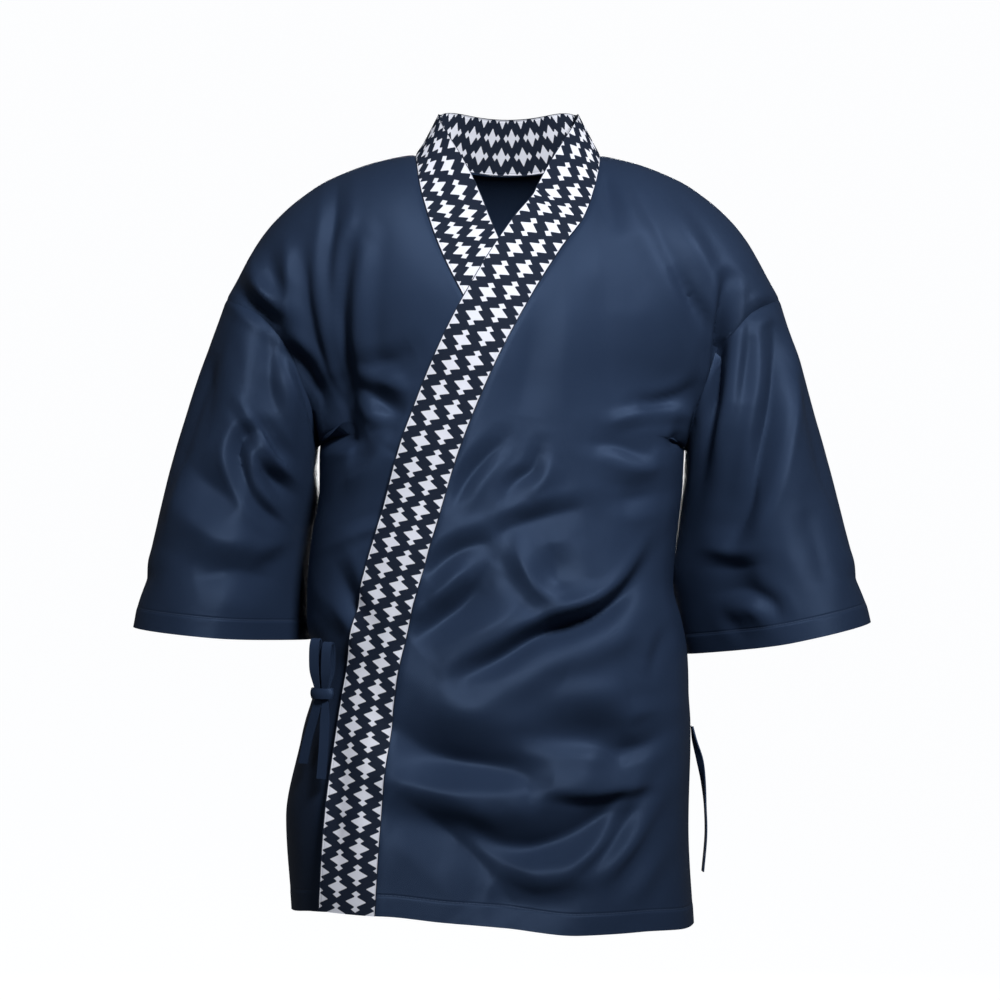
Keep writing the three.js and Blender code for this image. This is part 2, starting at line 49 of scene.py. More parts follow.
# ---- Driving sizes ----
CLOTH = 1.0  # wall of one layer of cloth
HEM_CLOTH = 1.8  # and of a turned-up hem
HEM_DEPTH = 20
BAND_WALL = 2.4
BAND_WIDTH = 58
SEAM_GAP = 0.16  # between sewn edges
SEAM_DIP = 0.9  # how far the cloth dips into a seam
SEAM_DIP_WIDTH = 2.6
BAND_DIP = 0.4  # the band's share of that dip
RIDGE_Y = 8  # of the shoulder line
LAP_LIFT = 5.0  # of the over front, off the under front
LAP_SWING = 20  # of its lower corner, further forward
BAND_SINK = 1.8  # of the under front's band, away from the over front
TIE_WIDTH = 10
TIE_WALL = 1.4
ARMPIT_T = 0.362  # of the way from the shoulder line to the hem
ARM_ROWS = 66
BODY_ROWS = 160
SHOULDER_COLUMNS = 100
NECK_COLUMNS = 48
BAND_COLUMNS = 20
SLEEVE_ROWS = 120
NECK_X = 93
NECK_MIDDLE_X = 5
NECK_BACK_T = 0.018
FRONT_ROUND_T = 0.3
BACK_ROUND_T = 0.16
ARM_FRONT = 64
ARM_BACK = 60
ARM_RUN_OUT = 0.8
SLEEVE_BLEND = 0.12  # of a sleeve's length, where the body's creases run out

# ---- The coat's form, as tables that part.mjs shares ----
SHOULDER = {
    "x": (0, 89, 124, 176, 209, 231, 248, 260, 271, 282),
    "z": (0, 0, -6, -25, -46, -66, -87, -107, -128, -148),
}
SIDES = {
    "t": (0, 0.084, 0.15, 0.206, 0.262, 0.313, 0.362, 0.42, 0.5, 0.55, 0.6, 0.64, 0.67, 0.76, 0.87, 1),
    "right": (282, 258, 236, 217, 203, 193, 188, 187.5, 196.5, 199.5, 200, 194, 190, 205, 221, 215),
    "left": (282, 258, 236, 217, 203, 192, 186, 183, 176, 173.5, 183, 188, 189, 191, 189, 194),
}
DEPTHS = {
    "t": (0, 0.25, 0.42, 0.62, 0.8, 1),
    "front": (122, 126, 127, 131, 139, 145),
    "back": (100, 108, 104, 98, 108, 120),
    "square": (2.1, 2.2, 2.4, 2.5, 2.6, 2.6),
}
HEM = {
    "share": (-1, -0.87, -0.57, -0.28, 0, 0.38, 0.68, 1),
    "front": (-764, -756, -751, -757, -762, -770, -770, -777),
    "back": (-764, -766, -768, -770, -771, -773, -775, -777),
}
OVER_SEAM = {
    "z": (-5, -30, -71, -108, -148, -221, -304, -376, -449, -545, -670, -780),
    "x": (98, 94, 81, 56, 31, -8, -42, -64, -85, -105, -118, -124),
}
UNDER_SEAM = {
    "z": (-5, -38, -72, -108, -161, -250, -350, -450, -550, -650, -780),
    "x": (-88, -83, -74, -61, -35, 10, 46, 68, 84, 96, 104),
}
CUFFS = {
    "right": {"outer": (-375, -481), "inner": (-204, -496), "half_depth": 72},
    "left": {"outer": (373, -476), "inner": (200, -511), "half_depth": 72},
}
CUFF_FORWARD = 8
SLEEVE_BOW = {"right": 7, "left": 1.5}
UNDERARM = {
    "v": (0, 0.12, 0.29, 0.5, 0.62, 0.79, 1),
    "right": (0, 1.5, -3, 0.5, 0, -2, -6),
    "left": (0, 0, -6, -16, -21, -16, -9),
    "back": (0, 6, 26, 42, 46, 46, 44),
}
UNDERARM_CLOSE = {"right": 0, "left": 2.0}  # how much closer to the body it lies
STAND_LEAN = {"aside": -0.4, "side_back": 0.5, "back_in": -0.18, "up": 0.88}
LIE_T = 0.12

# ---- Creases ----
CREASE_GAIN = 1.5
CREASE_POINTS = 28  # along each crease
CREASE_REACH = 3.6  # in widths of its wider bank: how far off a crease is worked out
CREASE_ROUND = 0.15  # of a bank's width: how round the crest is
CREASE_FALL = 1.25  # how steeply the banks fall from it
BANK_RISE = 0.25  # of a crease's height: the shallow rise beside each bank
BANK_RISE_AT = 2.1  # in widths of the bank, from the crease's line
BANK_RISE_WIDTH = 0.9
ARMPIT_DEPTH = 288  # of the armpits below the shoulder line
SIDE_SHARE = 0.45  # of a crease's height is left where it would draw the outline
SLEEVE_DROP = 14  # of the creases on the right sleeve's back, from the mirrored ones
# Each has its height, the widths of its two banks, and then the x and z of points along it, as seen
# square on. A trough is negative. The first bank is on the left hand as one goes along: above a
# crease that is listed from left to right, and towards +X of one that is listed downwards.
OVER_FRONT = (
    # the long crease from the left armhole: the cloth above hangs over it
    (
        *(-11, 8, 15, (-34, -521), (0, -503), (30, -485), (62, -474), (96, -462)),
        *((120, -443), (140, -418), (158, -394), (184, -362)),
    ),
    (5, 26, 9, (0, -486), (40, -463), (80, -452), (112, -430), (132, -404), (150, -380)),
    (3.4, 8, 16, (-34, -530), (0, -522), (34, -499), (66, -490), (100, -475), (128, -451), (152, -418)),
    # above it on the belly
    (-5.5, 8, 17, (-8, -386), (18, -375), (48, -366), (78, -359)),
    (4.4, 8, 9, (12, -388), (19, -414), (34, -438), (56, -451), (84, -446)),
    (-4, 13, 12, (47, -394), (51, -416), (57, -438)),
    (-5, 9, 14, (-76, -430), (-52, -407), (-30, -396), (-10, -392)),
    (3, 10, 9, (-74, -452), (-52, -430), (-32, -418)),
    (-7.5, 10, 17, (-88, -488), (-62, -470), (-36, -450), (-12, -414)),
    (3, 14, 14, (-66, -498), (-30, -480), (0, -468), (14, -452)),
    # the pull that spreads from the bow, dark above its line and bright below
    (-12.5, 23, 20, (-114, -566), (-84, -589), (-56, -602), (-20, -609), (14, -617), (46, -629)),
    (6, 12, 16, (-108, -620), (-62, -630), (-2, -633), (24, -632)),
    (-9, 20, 20, (8, -577), (50, -581), (90, -586), (118, -599), (150, -588), (176, -562)),
    (4, 14, 20, (14, -596), (52, -600), (92, -603), (120, -612), (156, -602)),
    (4.5, 12, 5, (44, -632), (84, -635), (120, -631), (154, -629)),
    # the swag below
    (-13, 20, 18, (-34, -664), (-8, -682), (22, -688), (60, -677), (94, -659), (124, -640)),
    (4, 9, 15, (-34, -678), (-6, -696), (26, -706), (64, -702), (98, -684), (130, -654), (156, -630)),
    (-5.5, 12, 26, (-8, -716), (30, -731), (70, -724)),
    (-8, 17, 44, (-104, -634), (-60, -670), (-20, -708), (14, -750)),
    (3.4, 20, 22, (-112, -676), (-72, -706), (-40, -744)),
    (-6.5, 7, 12, (72, -716), (100, -691), (130, -653), (164, -606)),
    (3, 10, 9, (92, -722), (122, -690), (150, -650), (172, -620)),
    (-3.4, 7, 9, (104, -726), (130, -694), (156, -660), (178, -640)),
    (2.4, 8, 9, (126, -740), (148, -708), (170, -680)),
    (-2.2, 7, 8, (148, -740), (166, -712), (184, -690)),
    (-3.4, 7, 7, (112, -592), (136, -592), (160, -582), (186, -568)),
    (2.6, 8, 8, (122, -562), (140, -558), (160, -557), (184, -549)),
    (-4, 5, 6, (146, -524), (150, -506), (158, -488), (172, -470)),
    (2.6, 7, 8, (136, -506), (142, -486), (158, -470)),
    (3, 18, 24, (60, -520), (92, -536), (120, -534)),
    # crumples under the left arm
    (2.6, 6, 6, (104, -277), (130, -269), (160, -264), (188, -266)),
    (-3.4, 6, 8, (132, -256), (150, -257), (172, -250), (192, -238)),
    (-4.6, 12, 7, (84, -297), (112, -298), (142, -306), (164, -300)),
    (2.6, 7, 8, (100, -318), (128, -322), (156, -318), (178, -306)),
    (-5, 11, 8, (112, -352), (138, -349), (164, -343), (182, -334)),
    (3, 9, 12, (118, -372), (142, -370), (164, -362)),
    (-2.2, 5, 5, (178, -282), (170, -300), (172, -322)),
    (2.2, 5, 5, (186, -262), (182, -284), (184, -310)),
    (-3.2, 6, 7, (2, -346), (12, -334), (28, -322), (36, -300)),
    (2, 9, 9, (24, -350), (40, -334), (48, -312)),
    (-4, 8, 7, (-48, -356), (-36, -334), (-20, -314), (0, -294)),
    # soft folds down from the left shoulder
    (-3.6, 13, 9, (130, -40), (158, -88), (184, -150), (200, -216)),
    (3, 9, 13, (150, -48), (184, -96), (206, -138), (214, -180)),
    (-2, 13, 13, (92, -36), (94, -90), (98, -150), (104, -230), (106, -290)),
    (1.8, 16, 14, (66, -120), (60, -200), (58, -280)),
    (-2.4, 7, 6, (102, -26), (106, -50), (116, -88)),
    (-2.6, 5, 6, (172, -128), (184, -148), (198, -170), (204, -186)),
    (-2.2, 22, 22, (130, -90), (134, -130), (128, -170)),
    (-1.8, 16, 14, (30, -180), (22, -230), (16, -270)),
)
UNDER_FRONT = (
    # narrow folds that gather towards the right armhole
    (-4.8, 8, 7, (-166, -38), (-169, -90), (-173, -150), (-168, -200), (-160, -250)),
    (-6, 10, 7, (-149, -94), (-156, -124), (-160, -165), (-157, -215), (-153, -262)),
    (3, 7, 7, (-158, -80), (-164, -120), (-167, -180), (-159, -238)),
    (3.6, 10, 7, (-140, -92), (-144, -140), (-145, -195), (-140, -240)),
    (-4.6, 8, 7, (-196, -118), (-192, -160), (-182, -205), (-170, -248)),
    (3, 7, 7, (-186, -120), (-182, -165), (-174, -215), (-164, -250)),
    (-10, 16, 22, (-172, -226), (-164, -262), (-156, -294), (-148, -318)),
    (-3.4, 9, 8, (-148, -216), (-128, -221), (-104, -215), (-88, -204)),
    (-5, 12, 8, (-148, -234), (-132, -246), (-112, -262), (-96, -268)),
    (3, 8, 8, (-140, -224), (-122, -234), (-104, -242), (-90, -244)),
    (-2.6, 7, 7, (-134, -288), (-118, -282), (-102, -284)),
    (8, 10, 24, (-178, -342), (-154, -335), (-130, -322), (-114, -300)),
    (-5, 18, 18, (-152, -386), (-132, -364), (-116, -338), (-106, -312)),
    (4, 6, 5, (-188, -404), (-164, -395), (-142, -384), (-116, -374)),
    (-8, 9, 15, (-176, -400), (-162, -424), (-152, -446), (-136, -468)),
    (6, 9, 9, (-194, -430), (-178, -448), (-160, -463), (-147, -480), (-146, -502)),
    (-4, 8, 7, (-192, -456), (-178, -470), (-168, -488), (-164, -504)),
    (-5, 9, 12, (-206, -560), (-194, -594), (-194, -634), (-198, -676)),
    (4, 9, 10, (-178, -590), (-180, -646), (-186, -706)),
    (-4, 10, 10, (-206, -640), (-210, -690), (-204, -744)),
    (-5, 10, 12, (-150, -560), (-156, -610), (-160, -660), (-158, -720)),
)
RIGHT_SLEEVE = (
    (5, 9, 9, (-252, -112), (-243, -138), (-228, -158), (-216, -166)),
    (-5.5, 8, 7, (-266, -140), (-250, -156), (-234, -168), (-220, -180)),
    (-4.6, 11, 11, (-240, -166), (-234, -200), (-230, -240), (-224, -268)),
    (4, 8, 8, (-216, -96), (-212, -140), (-213, -190)),
    (-11, 7, 13, (-220, -196), (-201, -216), (-189, -244), (-182, -276), (-181, -306)),
    (6, 9, 15, (-226, -208), (-210, -238), (-201, -272), (-195, -306), (-193, -332)),
    (5, 7, 6, (-262, -252), (-242, -282), (-228, -310), (-206, -335), (-186, -349)),
    (-7.5, 6, 10, (-242, -316), (-222, -336), (-206, -350), (-190, -360)),
    (-4.2, 6, 6, (-252, -258), (-238, -280), (-226, -302), (-222, -318)),
    (-7.5, 9, 7, (-242, -282), (-258, -290), (-262, -312), (-250, -342), (-232, -366), (-212, -384)),
    (5, 7, 8, (-252, -296), (-248, -330), (-230, -360), (-204, -388), (-192, -394)),
    (-13, 8, 12, (-226, -414), (-206, -408), (-192, -402)),
    (5, 13, 9, (-240, -398), (-216, -396), (-198, -390)),
    (-4.4, 12, 16, (-306, -432), (-272, -422), (-238, -430), (-210, -446)),
    (-4.4, 16, 18, (-318, -316), (-290, -340), (-262, -358)),
    (3.4, 18, 16, (-322, -360), (-290, -386), (-250, -396)),
    (-3, 12, 14, (-300, -200), (-296, -250), (-304, -300)),
    (2.6, 14, 14, (-330, -300), (-326, -350), (-340, -400)),
)
LEFT_SLEEVE = (
    (-11, 9, 5, (220, -134), (217, -162), (216, -200), (212, -238), (205, -276), (197, -316), (186, -352)),
    (5.5, 8, 5, (227, -146), (225, -200), (220, -252), (212, -304), (202, -352), (195, -398)),
    (-9.5, 9, 20, (272, -170), (275, -212), (271, -252), (259, -298), (248, -340), (236, -374), (224, -404)),
    (4, 18, 10, (292, -190), (294, -240), (286, -300), (272, -350), (254, -400)),
    (-3.4, 12, 11, (248, -186), (242, -222), (236, -256)),
    (3.4, 12, 13, (256, -180), (254, -226), (248, -270), (236, -330)),
    (5, 12, 7, (188, -400), (206, -401), (230, -404)),
    (-7, 8, 20, (188, -420), (206, -421), (228, -422), (252, -418)),
    (-4, 9, 10, (194, -440), (214, -446), (236, -442), (262, -448)),
    (3.2, 7, 7, (206, -462), (214, -478), (228, -494)),
    (-3.2, 6, 6, (214, -460), (226, -474), (240, -490)),
    (2.8, 7, 7, (236, -456), (252, -462), (262, -478)),
    (-2.6, 7, 7, (250, -446), (268, -456), (274, -474)),
    (-2.6, 16, 14, (300, -360), (314, -400), (322, -440)),
    (-2.6, 6, 6, (246, -170), (262, -160), (276, -156)),
)
BACK_BODY = (
    # pulls from both armholes towards the shoulder blades
    (-5.5, 10, 14, (-188, -268), (-160, -256), (-128, -250), (-92, -256)),
    (3.6, 10, 10, (-186, -290), (-156, -282), (-120, -280), (-90, -286)),
    (-4.6, 8, 12, (-184, -306), (-156, -318), (-128, -336), (-104, -362)),
    (-5.5, 14, 10, (188, -262), (158, -250), (124, -246), (90, -254)),
    (3.6, 10, 10, (184, -286), (154, -278), (122, -278), (88, -284)),
    (-4.6, 12, 8, (180, -304), (152, -320), (124, -342), (100, -372)),
    (-7, 9, 7, (-214, -160), (-206, -196), (-194, -236), (-186, -276)),
    (-7, 7, 9, (214, -156), (206, -196), (196, -236), (186, -276)),
    (4, 10, 10, (-190, -150), (-184, -196), (-176, -232)),
    (4, 10, 10, (190, -146), (182, -196), (174, -236)),
    # soft lengthwise folds from the shoulders
    (-4, 14, 20, (-118, -90), (-122, -170), (-112, -250), (-104, -320)),
    (3.4, 15, 15, (-76, -70), (-74, -150), (-70, -230)),
    (-4, 20, 14, (122, -86), (126, -160), (118, -240), (108, -310)),
    (3.4, 15, 15, (80, -66), (76, -150), (72, -236)),
    # the waist, drawn in by the ties
    (-8, 9, 18, (-182, -520), (-140, -498), (-90, -480), (-30, -474), (24, -482)),
    (4.6, 12, 16, (-184, -548), (-140, -528), (-86, -512), (-20, -506)),
    (-7, 18, 9, (178, -512), (140, -492), (96, -480), (52, -486), (10, -502)),
    (4.6, 12, 12, (184, -536), (144, -520), (98, -510), (54, -520)),
    (-7, 10, 20, (-186, -566), (-144, -560), (-96, -574), (-52, -604)),
    (4, 12, 12, (-188, -590), (-148, -592), (-106, -612), (-74, -646)),
    (-6.5, 20, 10, (184, -560), (148, -560), (106, -578), (70, -610)),
    (-4, 14, 12, (-60, -424), (-10, -436), (48, -430), (92, -412)),
    # lengthwise folds below it
    (-8, 12, 24, (-112, -596), (-104, -650), (-112, -710), (-118, -764)),
    (5, 17, 17, (-70, -600), (-64, -660), (-66, -720), (-72, -768)),
    (-6.5, 20, 13, (-22, -560), (-26, -630), (-18, -700), (-22, -768)),
    (5, 18, 18, (26, -590), (28, -660), (32, -730), (30, -770)),
    (-8, 24, 12, (86, -566), (82, -636), (90, -706), (92, -770)),
    (5, 15, 15, (132, -600), (134, -670), (140, -730), (142, -770)),
    (-4, 12, 10, (166, -600), (170, -670), (172, -740)),
    (-4, 10, 12, (-164, -610), (-170, -680), (-174, -750)),
)
# For the wearer's left sleeve. The right sleeve has its mirror image, moved down a little.
BACK_SLEEVE = (
    (-9, 12, 7, (222, -150), (220, -196), (212, -244), (202, -292), (196, -336)),
    (5, 11, 11, (240, -170), (238, -220), (228, -276), (216, -330)),
    (-7, 10, 18, (268, -196), (270, -244), (258, -300), (240, -352)),
    (4, 16, 12, (296, -220), (298, -276), (286, -340), (268, -392)),
    (-3, 12, 20, (200, -372), (226, -384), (258, -392), (292, -388)),
    (1.6, 16, 16, (202, -394), (230, -402), (266, -406), (300, -400)),
    (-1.6, 12, 14, (206, -440), (238, -446), (270, -442)),
    (3, 10, 10, (240, -452), (262, -470), (270, -490)),
)
# On the sleeves' outer sides and the body's flanks, by y and z as seen from that side.
SIDE_SLEEVE = (
    (-5, 10, 16, (-40, -190), (-30, -240), (-34, -300), (-28, -360)),
    (4, 12, 12, (-6, -200), (2, -260), (0, -330), (8, -400)),
    (-5.5, 16, 10, (34, -180), (36, -240), (30, -310), (36, -380)),
    (-4, 8, 14, (-52, -420), (-20, -432), (14, -428), (48, -440)),
)
SIDE_BODY = (
    (-5, 10, 14, (-52, -540), (-26, -548), (10, -552), (48, -544)),
    (4, 11, 11, (-56, -560), (-24, -572), (14, -576), (52, -568)),
    (-5, 10, 16, (-60, -580), (-40, -620), (-44, -680), (-40, -740)),
    (4, 12, 12, (-14, -590), (-8, -650), (-14, -710), (-10, -756)),
    (-5, 16, 10, (30, -590), (34, -660), (30, -724), (34, -764)),
)
FINE_WRINKLES = (
    # wavelength and height of the cloth's own unevenness
    (150, 2.6),
    (62, 1.1),
    (26, 0.35),
)

# ---- The ties ----
KNOT = {"x": -168, "z": -541, "clear": 12, "half_width": 12, "half_depth": 7, "height": 10}
BOW_TURN = 0.45
BOW_LOOP = (
    # towards the middle, up and out from the knot
    (1.2, 3, -2.2),
    (-1, 22, -4.5),
    (-1.5, 44, -4),
    (-1.5, 53, 0),
    (-1.5, 44, 4.5),
    (-1, 22, 5),
    (1.2, 3, 2.2),
)
BOW_LOOPS = {
    "bow_loop_outer": {"across": -5.2, "lean": 1, "rise": 1},
    "bow_loop_inner": {"across": 5.2, "lean": -1.2, "rise": 0.94},
}
BOW_TAILS = {
    "bow_tail_straight": ((4, -3, 1), (5, -30, 4), (6, -58, 9), (6, -82, 13)),
    "bow_tail_slanted": ((-3, -3, 1), (-6, -15, 0.5), (-17, -46, -2), (-23, -70, -3)),
}
SIDE_TIE = {
    "s": (0, 1 / 6, 2 / 6, 3 / 6, 4 / 6, 5 / 6, 1),
    "x": (193.4, 196, 201, 204.5, 206.5, 207, 204),
    "y": (7, 5, 3, 1, 0, 1, 2),
    "z": (-583, -598, -617, -640, -668, -695, -731),
    "face": (1.5, 1.2, 0.95, 1.25, 1.5, 1.5, 1.5),
}

# ---- Looks ----
NAVY = (0.0112, 0.0203, 0.044, 1)
NAVY_FIBRE = (0.022, 0.036, 0.07, 1)
NAVY_THREAD = (0.045, 0.065, 0.11, 1)
NAVY_SHEEN = (0.4, 0.6, 1, 1)
PRINT_NAVY = (0.005, 0.009, 0.02, 1)
PRINT_NAVY_FIBRE = (0.012, 0.018, 0.034, 1)
PRINT_WHITE = (0.64, 0.66, 0.74, 1)
PRINT_WHITE_FIBRE = (0.5, 0.53, 0.62, 1)
STUDIO_WHITE = (0.985, 0.99, 1, 1)
STUDIO_GLOW = 0.985
SKY = (0.93, 0.96, 1, 1)
PRINT_COLUMN = BAND_WIDTH / 3
PRINT_PERIOD = 25.2
PRINT_MARGIN = 0.8
TWILL_PITCH = 0.9
WEAVE_PITCH = 0.7
STITCH_PITCH = 3.2

# ---- The view ----
CAMERA_PLACE = (-3, -2300, -352)
VIEW_WIDTH = 1020  # at the shoulder line's distance
SENSOR = 36
FLOOR_Z = -1450
FLOOR_RADIUS = 5000
FLOOR_CURVE = 2500
WALL_HEIGHT = 9000
AMBIENT = 0.075
LIGHTS = (
    # name, power, size, spread in degrees, place and aim in metres
    ("key", 8.0, 0.6, 54, (0.62, -1.75, 1.05), (0.02, 0.0, -0.34)),
    ("side", 4.0, 1.2, 180, (-2.2, -1.2, 0.3), (0.0, 0.0, -0.3)),
    ("back", 60.0, 1.5, 180, (0.0, 2.6, 0.2), (0.0, 0.0, -0.4)),
)


# ---- Small maths ----
def smooth(q):
    q = np.clip(q, 0, 1)
    return q * q * (3 - 2 * q)


def lerp(a, b, q):
    return a + (b - a) * q


def unit(vectors):
    return vectors / np.maximum(np.linalg.norm(vectors, axis=-1, keepdims=True), 1e-9)


def reader(table, key, name):
    """A smooth reading of one column by another: a monotone cubic, which never overshoots."""
    order = np.argsort(table[key])
    k = np.array(table[key], float)[order]
    v = np.array(table[name], float)[order]
    rise = np.diff(v) / np.diff(k)
    slope = np.empty(len(k))
    slope[0], slope[-1] = rise[0], rise[-1]
    product = rise[:-1] * rise[1:]
    total = np.where(product > 0, rise[:-1] + rise[1:], 1)
    slope[1:-1] = np.where(product > 0, 2 * product / total, 0)

    def read(at):
        q = np.clip(at, k[0], k[-1])
        i = np.clip(np.searchsorted(k, q, side="right") - 1, 0, len(k) - 2)
        h = k[i + 1] - k[i]
        s = (q - k[i]) / h
        keep = (1 + 2 * s) * (1 - s) ** 2
        bend = h * s * (1 - s) * ((1 - s) * slope[i] - s * slope[i + 1])
        return keep * v[i] + (1 - keep) * v[i + 1] + bend

    return read


def curve_points(points, count):
    """A Catmull-Rom curve through points, at even steps of its parameter."""
    points = np.array(points, float)
    ends = np.vstack([2 * points[0] - points[1], points, 2 * points[-1] - points[-2]])
    s = np.linspace(0, len(points) - 1, count)
    i = np.minimum(s.astype(int), len(points) - 2)
    q = (s - i)[:, None]
    p0, p1, p2, p3 = ends[i], ends[i + 1], ends[i + 2], ends[i + 3]
    a = 2 * p1
    b = p2 - p0
    c = 2 * p0 - 5 * p1 + 4 * p2 - p3
    d = 3 * p1 - p0 - 3 * p2 + p3
    return (a + (b + (c + d * q) * q) * q) / 2


def noise(x, y, seed):
    """Gradient noise with a wavelength of 1, about -0.7 to 0.7."""
    angles = np.random.default_rng(seed).uniform(0, 2 * math.pi, (64, 64))
    i, j = np.floor(x).astype(int), np.floor(y).astype(int)
    fx, fy = x - i, y - j

    def corner(di, dj):
        a = angles[(i + di) % 64, (j + dj) % 64]
        return np.cos(a) * (fx - di) + np.sin(a) * (fy - dj)

    u, v = smooth(fx), smooth(fy)
    return lerp(lerp(corner(0, 0), corner(1, 0), u), lerp(corner(0, 1), corner(1, 1), u), v)


# ---- The coat's form ----
shoulder_z = reader(SHOULDER, "x", "z")
side_right = reader(SIDES, "t", "right")
side_left = reader(SIDES, "t", "left")
depth = {"front": reader(DEPTHS, "t", "front"), "back": reader(DEPTHS, "t", "back")}
squareness = reader(DEPTHS, "t", "square")
hem_z = {"front": reader(HEM, "share", "front"), "back": reader(HEM, "share", "back")}
over_seam_x = reader(OVER_SEAM, "z", "x")
under_seam_x = reader(UNDER_SEAM, "z", "x")

arm_turn = np.pi * np.arange(ARM_ROWS + 1) / ARM_ROWS
ROWS = np.concatenate(
    [
        ARMPIT_T * (1 - np.cos(arm_turn)) / 2,
        lerp(ARMPIT_T, 1, np.arange(1, BODY_ROWS + 1) / BODY_ROWS),
    ]
)


def half_width(x, t):
    return np.where(x < 0, side_right(t), side_left(t))


def side_x(side, t):
    """One side seam: the wearer's left one for +1, the right one for -1."""
    return side * (side_left(t) if side > 0 else side_right(t))


def row_z(face, x, t):
    return lerp(shoulder_z(np.abs(x)), hem_z[face](x / half_width(x, t)), t)


def round_off(t, over):
    return np.sqrt(1 - (1 - np.clip(t / over, 0, 1)) ** 2)


def face_depth(face, x, t):
    u = np.minimum(1, np.abs(x) / half_width(x, t))
    middle = depth[face](t) * round_off(t, FRONT_ROUND_T if face == "front" else BACK_ROUND_T)
    bow = ARM_FRONT if face == "front" else ARM_BACK
    q = t / ARMPIT_T
    edge = bow * np.sin(np.arccos(1 - 2 * np.minimum(1, q)))
    # Away from the armhole the bow runs out softly, some way below the armpit.
    inside = np.where(q < 0.5, edge, bow * (1 - smooth((q - 0.5) / ARM_RUN_OUT)))
    n = squareness(t)
    closed = (1 - u**n) ** (1 / n)
    opened = 1 - u**2.3
    section = inside + (middle - inside) * lerp(opened, closed, smooth((t - 0.27) / 0.13))
    return section + (edge - inside) * smooth((u - 0.8) / 0.2)


def face_point(face, x, t, lift=0.0):
    """A point on a face of the body. Beside the side seam, lift turns sideways as the surface does."""
    x, t = np.broadcast_arrays(np.asarray(x, float), np.asarray(t, float))
    u = np.abs(x) / half_width(x, t)
    aside = smooth((u - 0.6) / 0.4) * 0.7
    away = face_depth(face, x, t) + lift * (1 - aside * 0.4)
    y = RIDGE_Y + (-away if face == "front" else away)
    return np.stack([x + np.sign(x) * aside * lift, y, row_z(face, x, t)], axis=-1)


def over_point(x, t):
    u = x / half_width(x, t)
    lap = LAP_LIFT * smooth(t / 0.11) * smooth((1 - u) / 0.12)
    swing = LAP_SWING * smooth((t - 0.62) / 0.38) * smooth((-x - 60) / 120)
    return face_point("front", x, t, lap + swing)


def under_point(x, t):
    return face_point("front", x, t)


def row_at(x, z):
    top = shoulder_z(np.abs(x))
    t = np.full_like(np.asarray(x, float), 0.5)
    for _ in range(6):
        t = np.clip((z - top) / (hem_z["front"](x / half_width(x, t)) - top), 0, 1)
    return t


def seam_at(seam_x, t):
    x = seam_x(row_z("front", 0.0, t))
    for _ in range(7):
        x = seam_x(row_z("front", x, t))
    return x


# ---- Grids of points ----
def front_grid(point, seam_x, side):
    start = seam_at(seam_x, ROWS)
    end = side_x(side, ROWS)
    share = np.linspace(0, 1, SHOULDER_COLUMNS + 1)
    x = lerp(start[:, None], end[:, None], share[None, :])
    return point(x, np.broadcast_to(ROWS[:, None], x.shape))


def neck_x(turn):
    return NECK_MIDDLE_X + NECK_X * np.cos(np.pi * turn)


def neck_t(turn):
    return NECK_BACK_T * np.sin(np.pi * turn) ** 2


def neckline_point(turn):
    return face_point("back", neck_x(turn), neck_t(turn))


def back_grid():
    share = np.linspace(0, 1, SHOULDER_COLUMNS + 1)
    top = side_left(0.0)
    right = lerp(neck_x(1.0), -top, share)[::-1]
    left = lerp(neck_x(0.0), top, share)
    turn = 1 - np.arange(1, NECK_COLUMNS) / NECK_COLUMNS
    top_x = np.concatenate([right, neck_x(turn), left])
    zeros = np.zeros(SHOULDER_COLUMNS + 1)
    top_t = np.concatenate([zeros, neck_t(turn), zeros])
    t = lerp(top_t[None, :], 1, ROWS[:, None])
    x = top_x * half_width(top_x, t) / half_width(top_x, top_t)
    return face_point("back", x, t)


def armhole(side):
    t = ROWS[: ARM_ROWS + 1]
    x = side_x(side, t)
    return np.vstack([face_point("front", x, t), face_point("back", x, t)[-2:0:-1]])


def sleeve_grid(side):
    name = "left" if side > 0 else "right"
    cuff = CUFFS[name]
    start = armhole(side)
    outer, inner = np.array(cuff["outer"], float), np.array(cuff["inner"], float)
    middle, half = (outer + inner) / 2, (outer - inner) / 2
    a = 2 * np.pi * np.arange(len(start)) / len(start)
    end = np.stack(
        [
            middle[0] + half[0] * np.cos(a),
            RIDGE_Y - CUFF_FORWARD - cuff["half_depth"] * np.sin(a),
            middle[1] + half[1] * np.cos(a),
        ],
        axis=-1,
    )
    v = np.linspace(0, 1, SLEEVE_ROWS + 1)[:, None]
    grid = lerp(start[None], end[None], v[..., None])
    under = smooth(-np.cos(a))
    over = np.maximum(0, np.cos(a))
    grid[..., 0] += side * under * reader(UNDERARM, "v", name)(v)
    grid[..., 0] -= side * under**3 * UNDERARM_CLOSE[name] * smooth(v / 0.2)
    grid[..., 0] += side * over * SLEEVE_BOW[name] * np.sin(np.pi * v)
    grid[..., 1] += under * reader(UNDERARM, "v", "back")(v)
    return grid


def standing_across(turn):
    c, s = np.cos(np.pi * turn), np.sin(np.pi * turn)
    lean = STAND_LEAN
    across = np.stack(
        [lean["aside"] * c, lean["side_back"] * c**4 + lean["back_in"] * s, np.full_like(c, lean["up"])],
        axis=-1,
    )
    return BAND_WIDTH * unit(across)


